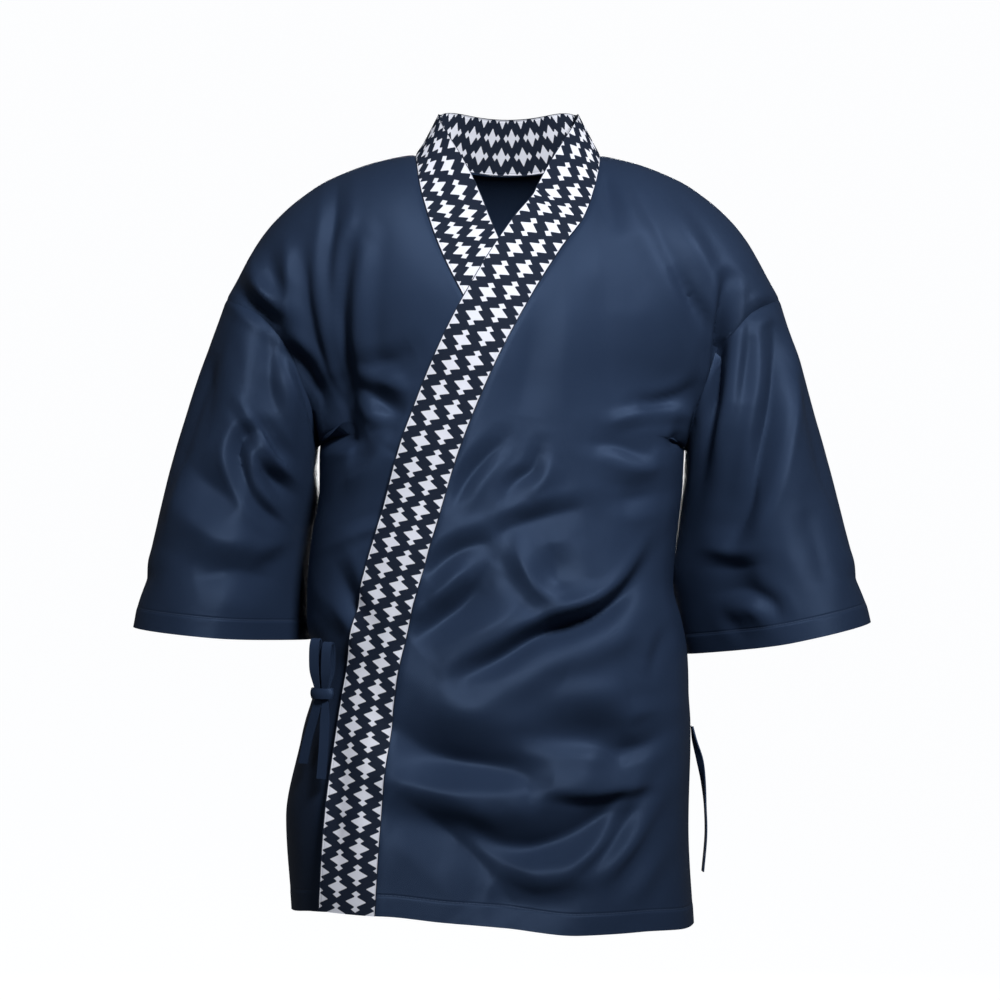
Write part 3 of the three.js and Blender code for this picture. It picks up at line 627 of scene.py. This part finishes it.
def band_on_front(point, seam_x, side):
    t = ROWS
    x = seam_at(seam_x, t)
    start = point(x, t)
    # Where the band lies on the chest, square to its seam and at its own width on the surface.
    flat_t = np.maximum(t, 0.012)
    flat_x = seam_at(seam_x, flat_t)
    z = row_z("front", flat_x, flat_t)
    slope = (seam_x(z - 4) - seam_x(z + 4)) / 8
    away = unit(np.stack([np.full_like(x, -side), -side * slope], axis=-1))
    seam = point(flat_x, flat_t)

    def lying(reach):
        px = flat_x + away[:, 0] * reach
        return point(px, row_at(px, z + away[:, 1] * reach))

    reach = np.full_like(x, BAND_WIDTH)
    for _ in range(6):
        reach = reach * BAND_WIDTH / np.linalg.norm(lying(reach) - seam, axis=-1)
    up = standing_across(np.array(0.0 if side > 0 else 1.0))
    lie = smooth(t / LIE_T)[:, None]
    columns = [start]
    for share in np.arange(1, BAND_COLUMNS + 1) / BAND_COLUMNS:
        across = lerp(up[None] * share, lying(reach * share) - seam, lie)
        columns.append(start + BAND_WIDTH * share * unit(across))
    return np.stack(columns, axis=1)


def band_grid():
    over = band_on_front(over_point, over_seam_x, 1)[::-1]
    under = band_on_front(under_point, under_seam_x, -1)
    turn = np.arange(1, NECK_COLUMNS) / NECK_COLUMNS
    share = (np.arange(BAND_COLUMNS + 1) / BAND_COLUMNS)[None, :, None]
    neck = neckline_point(turn)[:, None, :] + standing_across(turn)[:, None, :] * share
    return np.vstack([over, neck, under])


# ---- Creases and wrinkles ----
def crease_height(creases, x, z):
    """The sum of the creases at points seen square on."""
    total = np.zeros_like(x)
    for height, left_bank, right_bank, *points in creases:
        line = curve_points(points, CREASE_POINTS)
        reach = max(left_bank, right_bank) * CREASE_REACH
        low, high = line.min(axis=0) - reach, line.max(axis=0) + reach
        near = (x > low[0]) & (x < high[0]) & (z > low[1]) & (z < high[1])
        if not near.any():
            continue
        at = np.stack([x[near], z[near]], axis=-1)
        steps = np.diff(line, axis=0)
        offset = at[:, None, :] - line[None, :-1, :]
        along = np.clip((offset * steps).sum(axis=2) / (steps**2).sum(axis=1), 0, 1)
        away = offset - along[..., None] * steps
        distance = np.hypot(away[..., 0], away[..., 1])
        best = distance.argmin(axis=1)
        pick = np.arange(len(at))
        share = (best + along[pick, best]) / len(steps)
        turn = steps[best, 0] * away[pick, best, 1] - steps[best, 1] * away[pick, best, 0]
        # The two banks blend at the crease's ends, where neither side is the left one.
        leaning = turn / (np.hypot(steps[best, 0], steps[best, 1]) * distance[pick, best] + 1e-6)
        bank = lerp(right_bank, left_bank, (np.clip(leaning, -1, 1) + 1) / 2)
        q = distance[pick, best] / bank
        taper = np.sin(np.pi * lerp(0.04, 0.96, share)) ** 0.75
        crest = np.exp(-((np.sqrt(q**2 + CREASE_ROUND**2) - CREASE_ROUND) ** CREASE_FALL))
        shape = crest - BANK_RISE * np.exp(-(((q - BANK_RISE_AT) / BANK_RISE_WIDTH) ** 2))
        total[near] += CREASE_GAIN * height * taper * shape
    return total


def wrinkle_height(p, n, seed):
    """The cloth's own unevenness: warped noise, laid on from the front, the back and the sides."""
    faces = (
        (p[..., 0], np.minimum(n[..., 1], 0) ** 2),
        (p[..., 0] + 700, np.maximum(n[..., 1], 0) ** 2),
        (p[..., 1] + 1500, 1 - n[..., 1] ** 2),
    )
    total = np.zeros(p.shape[:-1])
    for i, (wavelength, height) in enumerate(FINE_WRINKLES):
        for across, weight in faces:
            x, z = across / wavelength, p[..., 2] / (1.3 * wavelength)
            warp = noise(x * 0.7 + 9.1, z * 0.7 + 4.7, seed + 20 + i)
            total += weight * height * noise(x + 0.8 * warp + 31.3, z - 0.6 * warp + 17.9, seed + i)
    return total


def displacement(cloth):
    p, n = cloth["grid"], cloth["normals"]
    x, y, z = p[..., 0], p[..., 1], p[..., 2]
    ahead = smooth((-n[..., 1] - 0.05) / 0.45)
    behind = smooth((n[..., 1] - 0.05) / 0.45)
    aside = smooth((np.abs(n[..., 0]) - 0.55) / 0.35)
    body = ahead * crease_height(OVER_FRONT + UNDER_FRONT, x, z)
    body += behind * crease_height(BACK_BODY, x, z)
    body += SIDE_SHARE * aside * crease_height(SIDE_BODY, y, z)
    sleeve = ahead * crease_height(RIGHT_SLEEVE + LEFT_SLEEVE, x, z)
    sleeve += behind * crease_height(BACK_SLEEVE, np.abs(x), np.where(x < 0, z + SLEEVE_DROP, z))
    sleeve += SIDE_SHARE * aside * crease_height(SIDE_SLEEVE, y, z)
    height = cloth["body"] * body + cloth["sleeve"] * sleeve * cloth["clear"]
    # The body's flanks and the sleeves' inner sides lie close together, so they are calmer.
    below = smooth((-z - ARMPIT_DEPTH) / 20)
    flank = cloth["flank"] * smooth((np.abs(n[..., 0]) - 0.35) / 0.4) * below
    calm = lerp(lerp(0.15, 1, cloth["clear"]), 0.12, flank)
    return (height + wrinkle_height(p, n, 5)) * calm * cloth["loose"] - cloth["sunk"]


# ---- From grids to walls ----
def grid_normals(grid, ring):
    if ring:
        across = np.roll(grid, -1, axis=1) - np.roll(grid, 1, axis=1)
    else:
        across = np.gradient(grid, axis=1)
    down = np.gradient(grid, axis=0)
    return unit(np.cross(down, across))


def weld_normals(cloths):
    """Pieces share the normals at the points that they share."""
    sums = {}
    edges = []
    for cloth in cloths:
        grid = cloth["grid"]
        rim = np.zeros(grid.shape[:2], bool)
        rim[0, :] = rim[-1, :] = True
        rim[:, 0] = rim[:, -1] = True
        for j, i in zip(*np.nonzero(rim)):
            key = tuple(np.round(cloth["base"][j, i] * 20).astype(int))
            sums[key] = sums.get(key, 0) + cloth["normals"][j, i]
            edges.append((cloth, j, i, key))
    for cloth, j, i, key in edges:
        cloth["normals"][j, i] = sums[key] / np.linalg.norm(sums[key])


def seam_distance(cloth):
    """Each point's distance from the nearest sewn edge of its piece."""
    grid = cloth["grid"]
    nearest = np.full(grid.shape[:2], 1e3)
    edges = {"top": grid[:1], "first": grid[:, :1], "last": grid[:, -1:]}
    for name in cloth["sewn"]:
        nearest = np.minimum(nearest, np.linalg.norm(grid - edges[name], axis=-1))
    return nearest


def open_seams(cloth):
    grid = cloth["grid"]

    def pull(edge, towards):
        edge += unit(towards - edge) * SEAM_GAP / 2

    if "top" in cloth["sewn"]:
        pull(grid[0], grid[1].copy())
    if "first" in cloth["sewn"]:
        pull(grid[:, 0], grid[:, 1].copy())
    if "last" in cloth["sewn"]:
        pull(grid[:, -1], grid[:, -2].copy())


def wall_quads(rows, columns, ring):
    """A wall's faces: its outer side, its inner side and the strips that close its edges."""

    def at(side, j, i):
        return (side * rows + j) * columns + (i % columns)

    spans = columns if ring else columns - 1
    j, i = np.meshgrid(np.arange(rows - 1), np.arange(spans), indexing="ij")
    j, i = j.ravel(), i.ravel()
    k = np.arange(spans)
    last = rows - 1
    faces = [
        (at(0, j, i), at(0, j + 1, i), at(0, j + 1, i + 1), at(0, j, i + 1)),
        (at(1, j, i), at(1, j, i + 1), at(1, j + 1, i + 1), at(1, j + 1, i)),
        (at(0, 0, k), at(0, 0, k + 1), at(1, 0, k + 1), at(1, 0, k)),
        (at(0, last, k + 1), at(0, last, k), at(1, last, k), at(1, last, k + 1)),
    ]
    if not ring:
        m = np.arange(last)
        end = columns - 1
        faces.append((at(0, m + 1, 0), at(0, m, 0), at(1, m, 0), at(1, m + 1, 0)))
        faces.append((at(0, m, end), at(0, m + 1, end), at(1, m + 1, end), at(1, m, end)))
    return np.concatenate([np.stack(corners, axis=1) for corners in faces])


def add_uv(mesh, grid, quads, uv, ring):
    columns = grid.shape[1]
    u, v = uv[..., 0], uv[..., 1]
    loops = quads % (grid.shape[0] * columns)
    row, column = loops // columns, loops % columns
    if ring:
        # The last span runs from the last column back to the first one.
        u = np.concatenate([u, u[:, :1] + ring_length(grid)], axis=1)
        v = np.concatenate([v, v[:, :1]], axis=1)
        wraps = (column.max(axis=1, keepdims=True) - column > 1) & (column == 0)
        column = np.where(wraps, columns, column)
    values = np.stack([u[row, column], v[row, column]], axis=-1) * MM
    mesh.uv_layers.new(name="cloth").data.foreach_set("uv", values.astype(np.float32).ravel())


def add_object(name, data):
    made = bpy.data.objects.new(name, data)
    bpy.context.scene.collection.objects.link(made)
    return made


def wall_mesh(name, grid, normals, thickness, uv, ring=False, turned=False):
    """A closed wall on both sides of a grid."""
    rows, columns = grid.shape[:2]
    half = np.broadcast_to(np.asarray(thickness, float), (rows, columns))[..., None] / 2
    points = np.concatenate(
        [(grid + normals * half).reshape(-1, 3), (grid - normals * half).reshape(-1, 3)]
    )
    quads = wall_quads(rows, columns, ring)
    if turned:
        quads = quads[:, ::-1]
    mesh = bpy.data.meshes.new(name)
    mesh.vertices.add(len(points))
    mesh.vertices.foreach_set("co", (points * MM).astype(np.float32).ravel())
    mesh.loops.add(quads.size)
    mesh.loops.foreach_set("vertex_index", quads.astype(np.int32).ravel())
    mesh.polygons.add(len(quads))
    mesh.polygons.foreach_set("loop_start", np.arange(0, quads.size, 4, dtype=np.int32))
    mesh.update(calc_edges=True)
    mesh.validate()
    add_uv(mesh, grid, quads, uv, ring)
    mesh.shade_smooth()
    mesh.set_sharp_from_angle(angle=math.radians(50))
    return add_object(name, mesh)


def ring_length(grid):
    closed = np.concatenate([grid, grid[:, :1]], axis=1)
    return np.linalg.norm(np.diff(closed, axis=1), axis=-1).sum(axis=1).mean()


def cloth_uv(grid, from_hem):
    """Across and along the cloth in millimetres, the second one counted from the hem."""
    across = np.linalg.norm(np.diff(grid, axis=1), axis=-1).mean(axis=0)
    u = np.concatenate([[0], np.cumsum(across)])
    steps = np.linalg.norm(np.diff(grid, axis=0), axis=-1)
    down = np.concatenate([np.zeros((1, grid.shape[1])), np.cumsum(steps, axis=0)])
    v = down[-1:] - down if from_hem else down
    return np.stack(np.broadcast_arrays(u[None, :], v), axis=-1)


# ---- Shader helpers ----
class Nodes:
    """Builds a material's node tree from plain expressions."""

    def __init__(self, name):
        self.material = bpy.data.materials.new(name)
        self.material.use_nodes = True
        self.tree = self.material.node_tree
        self.shader = self.tree.nodes["Principled BSDF"]

    def node(self, kind, inputs=(), **settings):
        made = self.tree.nodes.new(kind)
        for key, value in settings.items():
            setattr(made, key, value)
        self.feed_all(made, dict(inputs))
        return made

    def feed_all(self, node, inputs):
        for key, value in inputs.items():
            self.feed(node.inputs[key], value)

    def finish(self, inputs):
        """The material, with its shader's inputs set."""
        self.feed_all(self.shader, inputs)
        return self.material

    def feed(self, socket, value):
        if isinstance(value, bpy.types.NodeSocket):
            self.tree.links.new(value, socket)
        else:
            socket.default_value = value

    def math(self, operation, *values):
        made = self.tree.nodes.new("ShaderNodeMath")
        made.operation = operation
        for socket, value in zip(made.inputs, values):
            self.feed(socket, value)
        return made.outputs[0]

    def apart(self, a, b):
        return self.math("ABSOLUTE", self.math("SUBTRACT", a, b))

    def step(self, value, low, high):
        """0 below low, 1 above high and smooth between."""
        made = self.node(
            "ShaderNodeMapRange",
            {"Value": value, "From Min": low, "From Max": high},
            interpolation_type="SMOOTHSTEP",
        )
        return made.outputs["Result"]

    def mix(self, share, a, b):
        made = self.node("ShaderNodeMix", {"Factor": share, "A": a, "B": b}, data_type="RGBA")
        return made.outputs["Result"]

    def noise(self, vector, scale, detail=2.0):
        made = self.node("ShaderNodeTexNoise", {"Vector": vector, "Scale": scale, "Detail": detail})
        return made.outputs["Fac"]

    def uv(self):
        """The cloth's own coordinates in millimetres: across it, and along it from the hem."""
        layer = self.node("ShaderNodeUVMap", uv_map="cloth").outputs["UV"]
        parts = self.node("ShaderNodeSeparateXYZ", {"Vector": layer})
        return [self.math("MULTIPLY", parts.outputs[axis], 1 / MM) for axis in "XY"]

    def bump(self, height, distance, strength=1.0, normal=None):
        made = self.node("ShaderNodeBump", {"Height": height, "Distance": distance, "Strength": strength})
        if normal is not None:
            self.feed(made.inputs["Normal"], normal)
        return made.outputs["Normal"]


def tinted(colour, share):
    return (*[c * share for c in colour[:3]], 1)


def twill(nodes, u, v):
    """The twill's diagonal ribs, 0 to 1."""
    diagonal = nodes.math("ADD", u, v)
    wave = nodes.math("SINE", nodes.math("MULTIPLY", diagonal, 2 * math.pi / TWILL_PITCH))
    return nodes.math("MULTIPLY_ADD", wave, 0.5, 0.5)


def stitch_mask(nodes, u, v, at):
    """1 on the thread of a line of stitches at one distance from the hem."""
    beside = nodes.apart(v, at)
    along = nodes.math("PINGPONG", u, STITCH_PITCH / 2)
    thread = nodes.math("SUBTRACT", 1.0, nodes.step(beside, 0.25, 0.75))
    return nodes.math("MULTIPLY", thread, nodes.step(along, 0.25, 0.6))


def navy_material(name, stitched):
    nodes = Nodes(name)
    u, v = nodes.uv()
    place = nodes.node("ShaderNodeTexCoord").outputs["Object"]
    cloud = nodes.noise(place, 9.0, 3.0)
    fibre = nodes.noise(place, 900.0, 2.0)
    worn = nodes.mix(cloud, tinted(NAVY, 0.86), tinted(NAVY, 1.16))
    colour = nodes.mix(nodes.math("MULTIPLY", fibre, 0.35), worn, NAVY_FIBRE)
    height = nodes.math("MULTIPLY_ADD", fibre, 0.6, twill(nodes, u, v))
    normal = nodes.bump(height, 0.00022, 0.5)
    if stitched:
        thread = stitch_mask(nodes, u, v, float(HEM_DEPTH))
        groove = nodes.step(nodes.apart(v, float(HEM_DEPTH)), 0.3, 2.6)
        colour = nodes.mix(nodes.math("MULTIPLY", thread, 0.3), colour, NAVY_THREAD)
        normal = nodes.bump(nodes.math("MULTIPLY_ADD", thread, 0.35, groove), 0.0006, 0.7, normal)
    return nodes.finish(
        {
            "Base Color": colour,
            "Normal": normal,
            "Roughness": nodes.math("MULTIPLY_ADD", cloud, 0.1, 0.4),
            "Specular IOR Level": 0.2,
            "Specular Tint": NAVY_SHEEN,
        }
    )


def edge_distance(nodes, u):
    """How far a point of the band is from its nearer long edge."""
    return nodes.math("MINIMUM", u, nodes.math("SUBTRACT", float(BAND_WIDTH), u))


def print_mask(nodes, u, v):
    """1 in the white motifs: a broad lozenge with a small one above and below, in half drop."""
    column = nodes.math("DIVIDE", u, PRINT_COLUMN)
    index = nodes.math("ROUND", column)
    a = nodes.math("ABSOLUTE", nodes.math("MULTIPLY", nodes.math("SUBTRACT", column, index), PRINT_COLUMN))
    drop = nodes.math("MULTIPLY", nodes.math("MODULO", index, 2.0), 0.5)
    turns = nodes.math("ADD", nodes.math("DIVIDE", v, PRINT_PERIOD), drop)
    b = nodes.math("MULTIPLY", nodes.math("SUBTRACT", turns, nodes.math("ROUND", turns)), PRINT_PERIOD)
    b = nodes.math("ABSOLUTE", b)

    def lozenge(half_a, half_b, middle_b):
        across = nodes.math("DIVIDE", a, half_a)
        along = nodes.math("DIVIDE", nodes.apart(b, middle_b), half_b)
        reach = nodes.math("ADD", across, along)
        return nodes.math("MULTIPLY", nodes.math("SUBTRACT", reach, 1.0), half_b)

    neck = nodes.math("MAXIMUM", nodes.math("SUBTRACT", a, 1.5), nodes.math("SUBTRACT", b, 7.0))
    shape = nodes.math("MINIMUM", lozenge(10.2, 5.2, 0.0), lozenge(4.3, 2.9, 7.4))
    shape = nodes.math("MINIMUM", shape, neck)
    shape = nodes.math("MAXIMUM", shape, nodes.math("SUBTRACT", PRINT_MARGIN, edge_distance(nodes, u)))
    return nodes.math("SUBTRACT", 1.0, nodes.step(shape, -0.3, 0.3))


def collar_material():
    nodes = Nodes("collar_print")
    u, v = nodes.uv()
    place = nodes.node("ShaderNodeTexCoord").outputs["Object"]
    fibre = nodes.noise(place, 1100.0, 2.0)
    cloud = nodes.noise(place, 14.0, 2.0)
    white = nodes.mix(cloud, tinted(PRINT_WHITE, 0.9), PRINT_WHITE)
    white = nodes.mix(nodes.math("MULTIPLY", fibre, 0.3), white, PRINT_WHITE_FIBRE)
    navy = nodes.mix(fibre, PRINT_NAVY, PRINT_NAVY_FIBRE)
    colour = nodes.mix(print_mask(nodes, u, v), navy, white)
    weave = nodes.math(
        "MULTIPLY",
        nodes.math("SINE", nodes.math("MULTIPLY", u, 2 * math.pi / WEAVE_PITCH)),
        nodes.math("SINE", nodes.math("MULTIPLY", v, 2 * math.pi / WEAVE_PITCH)),
    )
    groove = nodes.step(nodes.apart(edge_distance(nodes, u), 2.2), 0.2, 1.0)
    normal = nodes.bump(nodes.math("MULTIPLY_ADD", fibre, 0.6, weave), 0.0002, 0.4)
    normal = nodes.bump(groove, 0.0005, 0.6, normal)
    return nodes.finish(
        {"Base Color": colour, "Normal": normal, "Roughness": 0.7, "Specular IOR Level": 0.08}
    )


def studio_material():
    nodes = Nodes("studio")
    return nodes.finish(
        {
            "Base Color": (0.12, 0.12, 0.12, 1),
            "Roughness": 1,
            "Emission Color": STUDIO_WHITE,
            "Emission Strength": STUDIO_GLOW,
        }
    )


# ---- The coat ----
def joined(t):
    """How far the body and the sleeve are one surface at a row: wholly, until near the armpit."""
    return 1 - smooth((t - 0.22) / (ARMPIT_T - 0.22))


def make_cloth(name, grid, sewn=("top", "first", "last"), ring=False, turned=False):
    """A piece, with how much of each kind of crease it takes at each of its points."""
    band = name == "collar_band"
    shape = grid.shape[:2]
    along = np.linspace(0, 1, shape[0])[:, None]
    across = np.linspace(0, 1, shape[1])[None, :]
    cloth = {"name": name, "grid": grid, "base": grid.copy(), "band": band}
    cloth.update(sewn=sewn, ring=ring, turned=turned)
    # Above the armpit a crease runs on from the body into the sleeve. Below it they part.
    if ring:
        turn = np.arange(shape[1])
        at_seam = joined(ROWS[np.minimum(turn, shape[1] - turn)][None, :])
        past_seam = smooth(along / SLEEVE_BLEND)
        # The sleeve's inner side lies close to the body, so its creases fade out there.
        inner = -np.cos(2 * np.pi * turn / shape[1])[None, :]
        cloth["clear"] = 1 - smooth((inner - 0.3) / 0.5) * past_seam
        cloth["flank"] = 0.0
        cloth["body"] = np.broadcast_to(1 - past_seam, shape)
        cloth["sleeve"] = lerp(at_seam, 1, past_seam)
    else:
        cloth["clear"] = np.ones(shape)
        cloth["flank"] = 0.0 if band else 1.0
        cloth["body"] = np.ones(shape)
        cloth["sleeve"] = 0.0 if band else joined(ROWS)[:, None]
    # The band is stiffer than the cloth, apart from the end that lies under the over front.
    under = smooth((along - 0.5) / 0.08)
    cloth["sunk"] = BAND_SINK * under * smooth(across / 0.3) if band else 0.0
    cloth["loose"] = 1 - 0.55 * (1 - under) * smooth(across / 0.6) if band else 1.0
    return cloth


def make_cloths():
    over = front_grid(over_point, over_seam_x, 1)
    under = front_grid(under_point, under_seam_x, -1)
    return [
        make_cloth("back", back_grid(), turned=True),
        make_cloth("front_left_over", over),
        make_cloth("front_right_under", under, turned=True),
        make_cloth("sleeve_right", sleeve_grid(-1), sewn=("top",), ring=True),
        make_cloth("sleeve_left", sleeve_grid(1), sewn=("top",), ring=True, turned=True),
        make_cloth("collar_band", band_grid(), sewn=("first",)),
    ]


def set_normals(cloths):
    for cloth in cloths:
        cloth["normals"] = grid_normals(cloth["grid"], cloth["ring"])
        if cloth["turned"]:
            cloth["normals"] = -cloth["normals"]
    weld_normals(cloths)


def shape_cloths(cloths):
    set_normals(cloths)
    for cloth in cloths:
        cloth["shift"] = displacement(cloth)
    for cloth in cloths:
        cloth["grid"] = cloth["grid"] + cloth["normals"] * cloth["shift"][..., None]
    set_normals(cloths)
    for cloth in cloths:
        dip = SEAM_DIP * np.exp(-((seam_distance(cloth) / SEAM_DIP_WIDTH) ** 2))
        if cloth["band"]:
            dip = dip * BAND_DIP
        cloth["grid"] = cloth["grid"] - cloth["normals"] * dip[..., None]
        open_seams(cloth)


def build_cloth(cloth, material):
    grid = cloth["grid"]
    band = cloth["band"]
    uv = cloth_uv(cloth["base"], from_hem=not band)
    if band:
        share = np.linspace(0, BAND_WIDTH, BAND_COLUMNS + 1)[None, :]
        steps = np.linalg.norm(np.diff(cloth["base"][:, 0], axis=0), axis=-1)
        along = np.concatenate([[0], np.cumsum(steps)])[:, None]
        uv = np.stack(np.broadcast_arrays(share, along), axis=-1)
        thickness = BAND_WALL
    else:
        hem = 1 - smooth((uv[..., 1] - HEM_DEPTH + 3) / 5)
        thickness = lerp(CLOTH, HEM_CLOTH, hem)
    piece = wall_mesh(
        cloth["name"], grid, cloth["normals"], thickness, uv, cloth["ring"], cloth["turned"]
    )
    piece.data.materials.append(material)
    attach(piece, "root")
    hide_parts(cloth["name"])
    return piece


# ---- The ties ----
def ribbon_grid(points, stations, half_at, columns=6):
    line = curve_points(points, stations + 1)
    s = np.linspace(0, 1, stations + 1)
    half = half_at(s)
    side = np.linspace(-1, 1, columns + 1)
    return line[:, None, :] + half[:, None, :] * side[None, :, None]


def knot_grid(bow_point):
    """The knot: a short upright barrel, a little fuller at its middle."""
    rings = []
    angles = 2 * np.pi * np.arange(48) / 48
    for share in np.linspace(-0.5, 0.5, 13):
        full = 0.9 + 0.1 * math.cos(math.pi * share)
        wide, deep, up = full * KNOT["half_width"], full * KNOT["half_depth"], share * KNOT["height"]
        rings.append([bow_point(wide * math.cos(a), up, deep * math.sin(a)) for a in angles])
    return np.array(rings)


def make_ties(material):
    seat = over_point(np.array(float(KNOT["x"])), row_at(np.array(float(KNOT["x"])), KNOT["z"]))
    across = unit(np.array([1.0, -BOW_TURN, 0.0]))
    out = unit(np.array([-BOW_TURN, -1.0, 0.0]))
    middle = seat + out * KNOT["clear"]

    def bow_point(w, up, away):
        return middle + across * w + out * away + np.array([0.0, 0.0, up])

    def gathered(near_knot):
        return across[None, :] * (TIE_WIDTH / 2 * lerp(1, 0.6, near_knot))[:, None]

    grids = {}
    for name, loop in BOW_LOOPS.items():
        points = [
            bow_point(loop["across"] + loop["lean"] * w, up * loop["rise"], away)
            for w, up, away in BOW_LOOP
        ]
        grids[name] = ribbon_grid(
            points, 90, lambda s: gathered(1 - smooth(np.minimum(s, 1 - s) / 0.2))
        )
    for name, tail in BOW_TAILS.items():
        points = [bow_point(*row) for row in tail]
        grids[name] = ribbon_grid(points, 60, lambda s: gathered(1 - smooth(s / 0.3)))
    grids["bow_knot"] = knot_grid(bow_point)
    points = list(zip(SIDE_TIE["x"], SIDE_TIE["y"], SIDE_TIE["z"]))
    face = reader(SIDE_TIE, "s", "face")
    grids["side_tie"] = ribbon_grid(
        points,
        110,
        lambda s: TIE_WIDTH / 2 * np.stack([np.cos(face(s)), -np.sin(face(s)), 0 * s], axis=-1),
    )
    pieces = {}
    for name, grid in grids.items():
        closed = name == "bow_knot"
        piece = wall_mesh(
            name, grid, grid_normals(grid, closed), TIE_WALL, cloth_uv(grid, False), ring=closed
        )
        piece.data.materials.append(material)
        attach(piece, "root")
        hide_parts(name)
        pieces[name] = piece
    return pieces


# ---- The studio ----
def make_backdrop():
    """A floor that curves up into a round wall, all round and far from the coat."""
    rings = 48
    segments = 128
    turn = np.linspace(0, math.pi / 2, rings - 2)
    curve = FLOOR_RADIUS + FLOOR_CURVE * np.sin(turn)
    radius = np.concatenate([[0.001], curve, [FLOOR_RADIUS + FLOOR_CURVE]])
    height = np.concatenate([[0], FLOOR_CURVE * (1 - np.cos(turn)), [WALL_HEIGHT]]) + FLOOR_Z
    angle = 2 * np.pi * np.arange(segments) / segments
    points = np.stack(
        [
            radius[:, None] * np.cos(angle)[None],
            radius[:, None] * np.sin(angle)[None],
            np.repeat(height[:, None], segments, axis=1),
        ],
        axis=-1,
    ).reshape(-1, 3)
    faces = []
    for j in range(len(radius) - 1):
        for i in range(segments):
            k = (i + 1) % segments
            faces.append((j * segments + i, j * segments + k, (j + 1) * segments + k, (j + 1) * segments + i))
    mesh = bpy.data.meshes.new("backdrop")
    mesh.from_pydata((points * MM).tolist(), [], faces)
    mesh.shade_smooth()
    backdrop = add_object("backdrop", mesh)
    backdrop.data.materials.append(studio_material())
    # It is seen, but it lights nothing: the lamps and the world do that.
    backdrop.visible_diffuse = False
    backdrop.visible_glossy = False
    backdrop.visible_shadow = False


def make_lights():
    world = bpy.data.worlds.new("studio")
    world.use_nodes = True
    background = world.node_tree.nodes["Background"]
    background.inputs["Color"].default_value = SKY
    background.inputs["Strength"].default_value = AMBIENT
    bpy.context.scene.world = world
    for name, power, size, spread, place, aim in LIGHTS:
        data = bpy.data.lights.new(name, "AREA")
        data.energy = power
        data.shape = "DISK"
        data.size = size
        data.spread = math.radians(spread)
        light = add_object(name, data)
        light.location = place
        light.rotation_euler = direction_angles(np.array(aim) - np.array(place))


def direction_angles(direction):
    """Euler angles that point an object's -Z along a direction, with +Y up."""
    x, y, z = direction
    pitch = math.atan2(math.hypot(x, y), -z)
    return (pitch, 0, math.atan2(-x, y))


def make_camera():
    data = bpy.data.cameras.new("camera")
    data.sensor_width = SENSOR
    data.lens = SENSOR * -CAMERA_PLACE[1] / VIEW_WIDTH
    camera = add_object("camera", data)
    camera.location = [c * MM for c in CAMERA_PLACE]
    camera.rotation_euler = (math.pi / 2, 0, 0)
    bpy.context.scene.camera = camera
    bpy.context.scene.view_settings.view_transform = "Standard"


make_camera()
make_backdrop()
make_lights()
navy_stitched = navy_material("navy_twill", stitched=True)
navy_plain = navy_material("navy_twill_ties", stitched=False)
printed = collar_material()
cloths = make_cloths()
shape_cloths(cloths)
for cloth in cloths:
    build_cloth(cloth, printed if cloth["band"] else navy_stitched)
ties = make_ties(navy_plain)
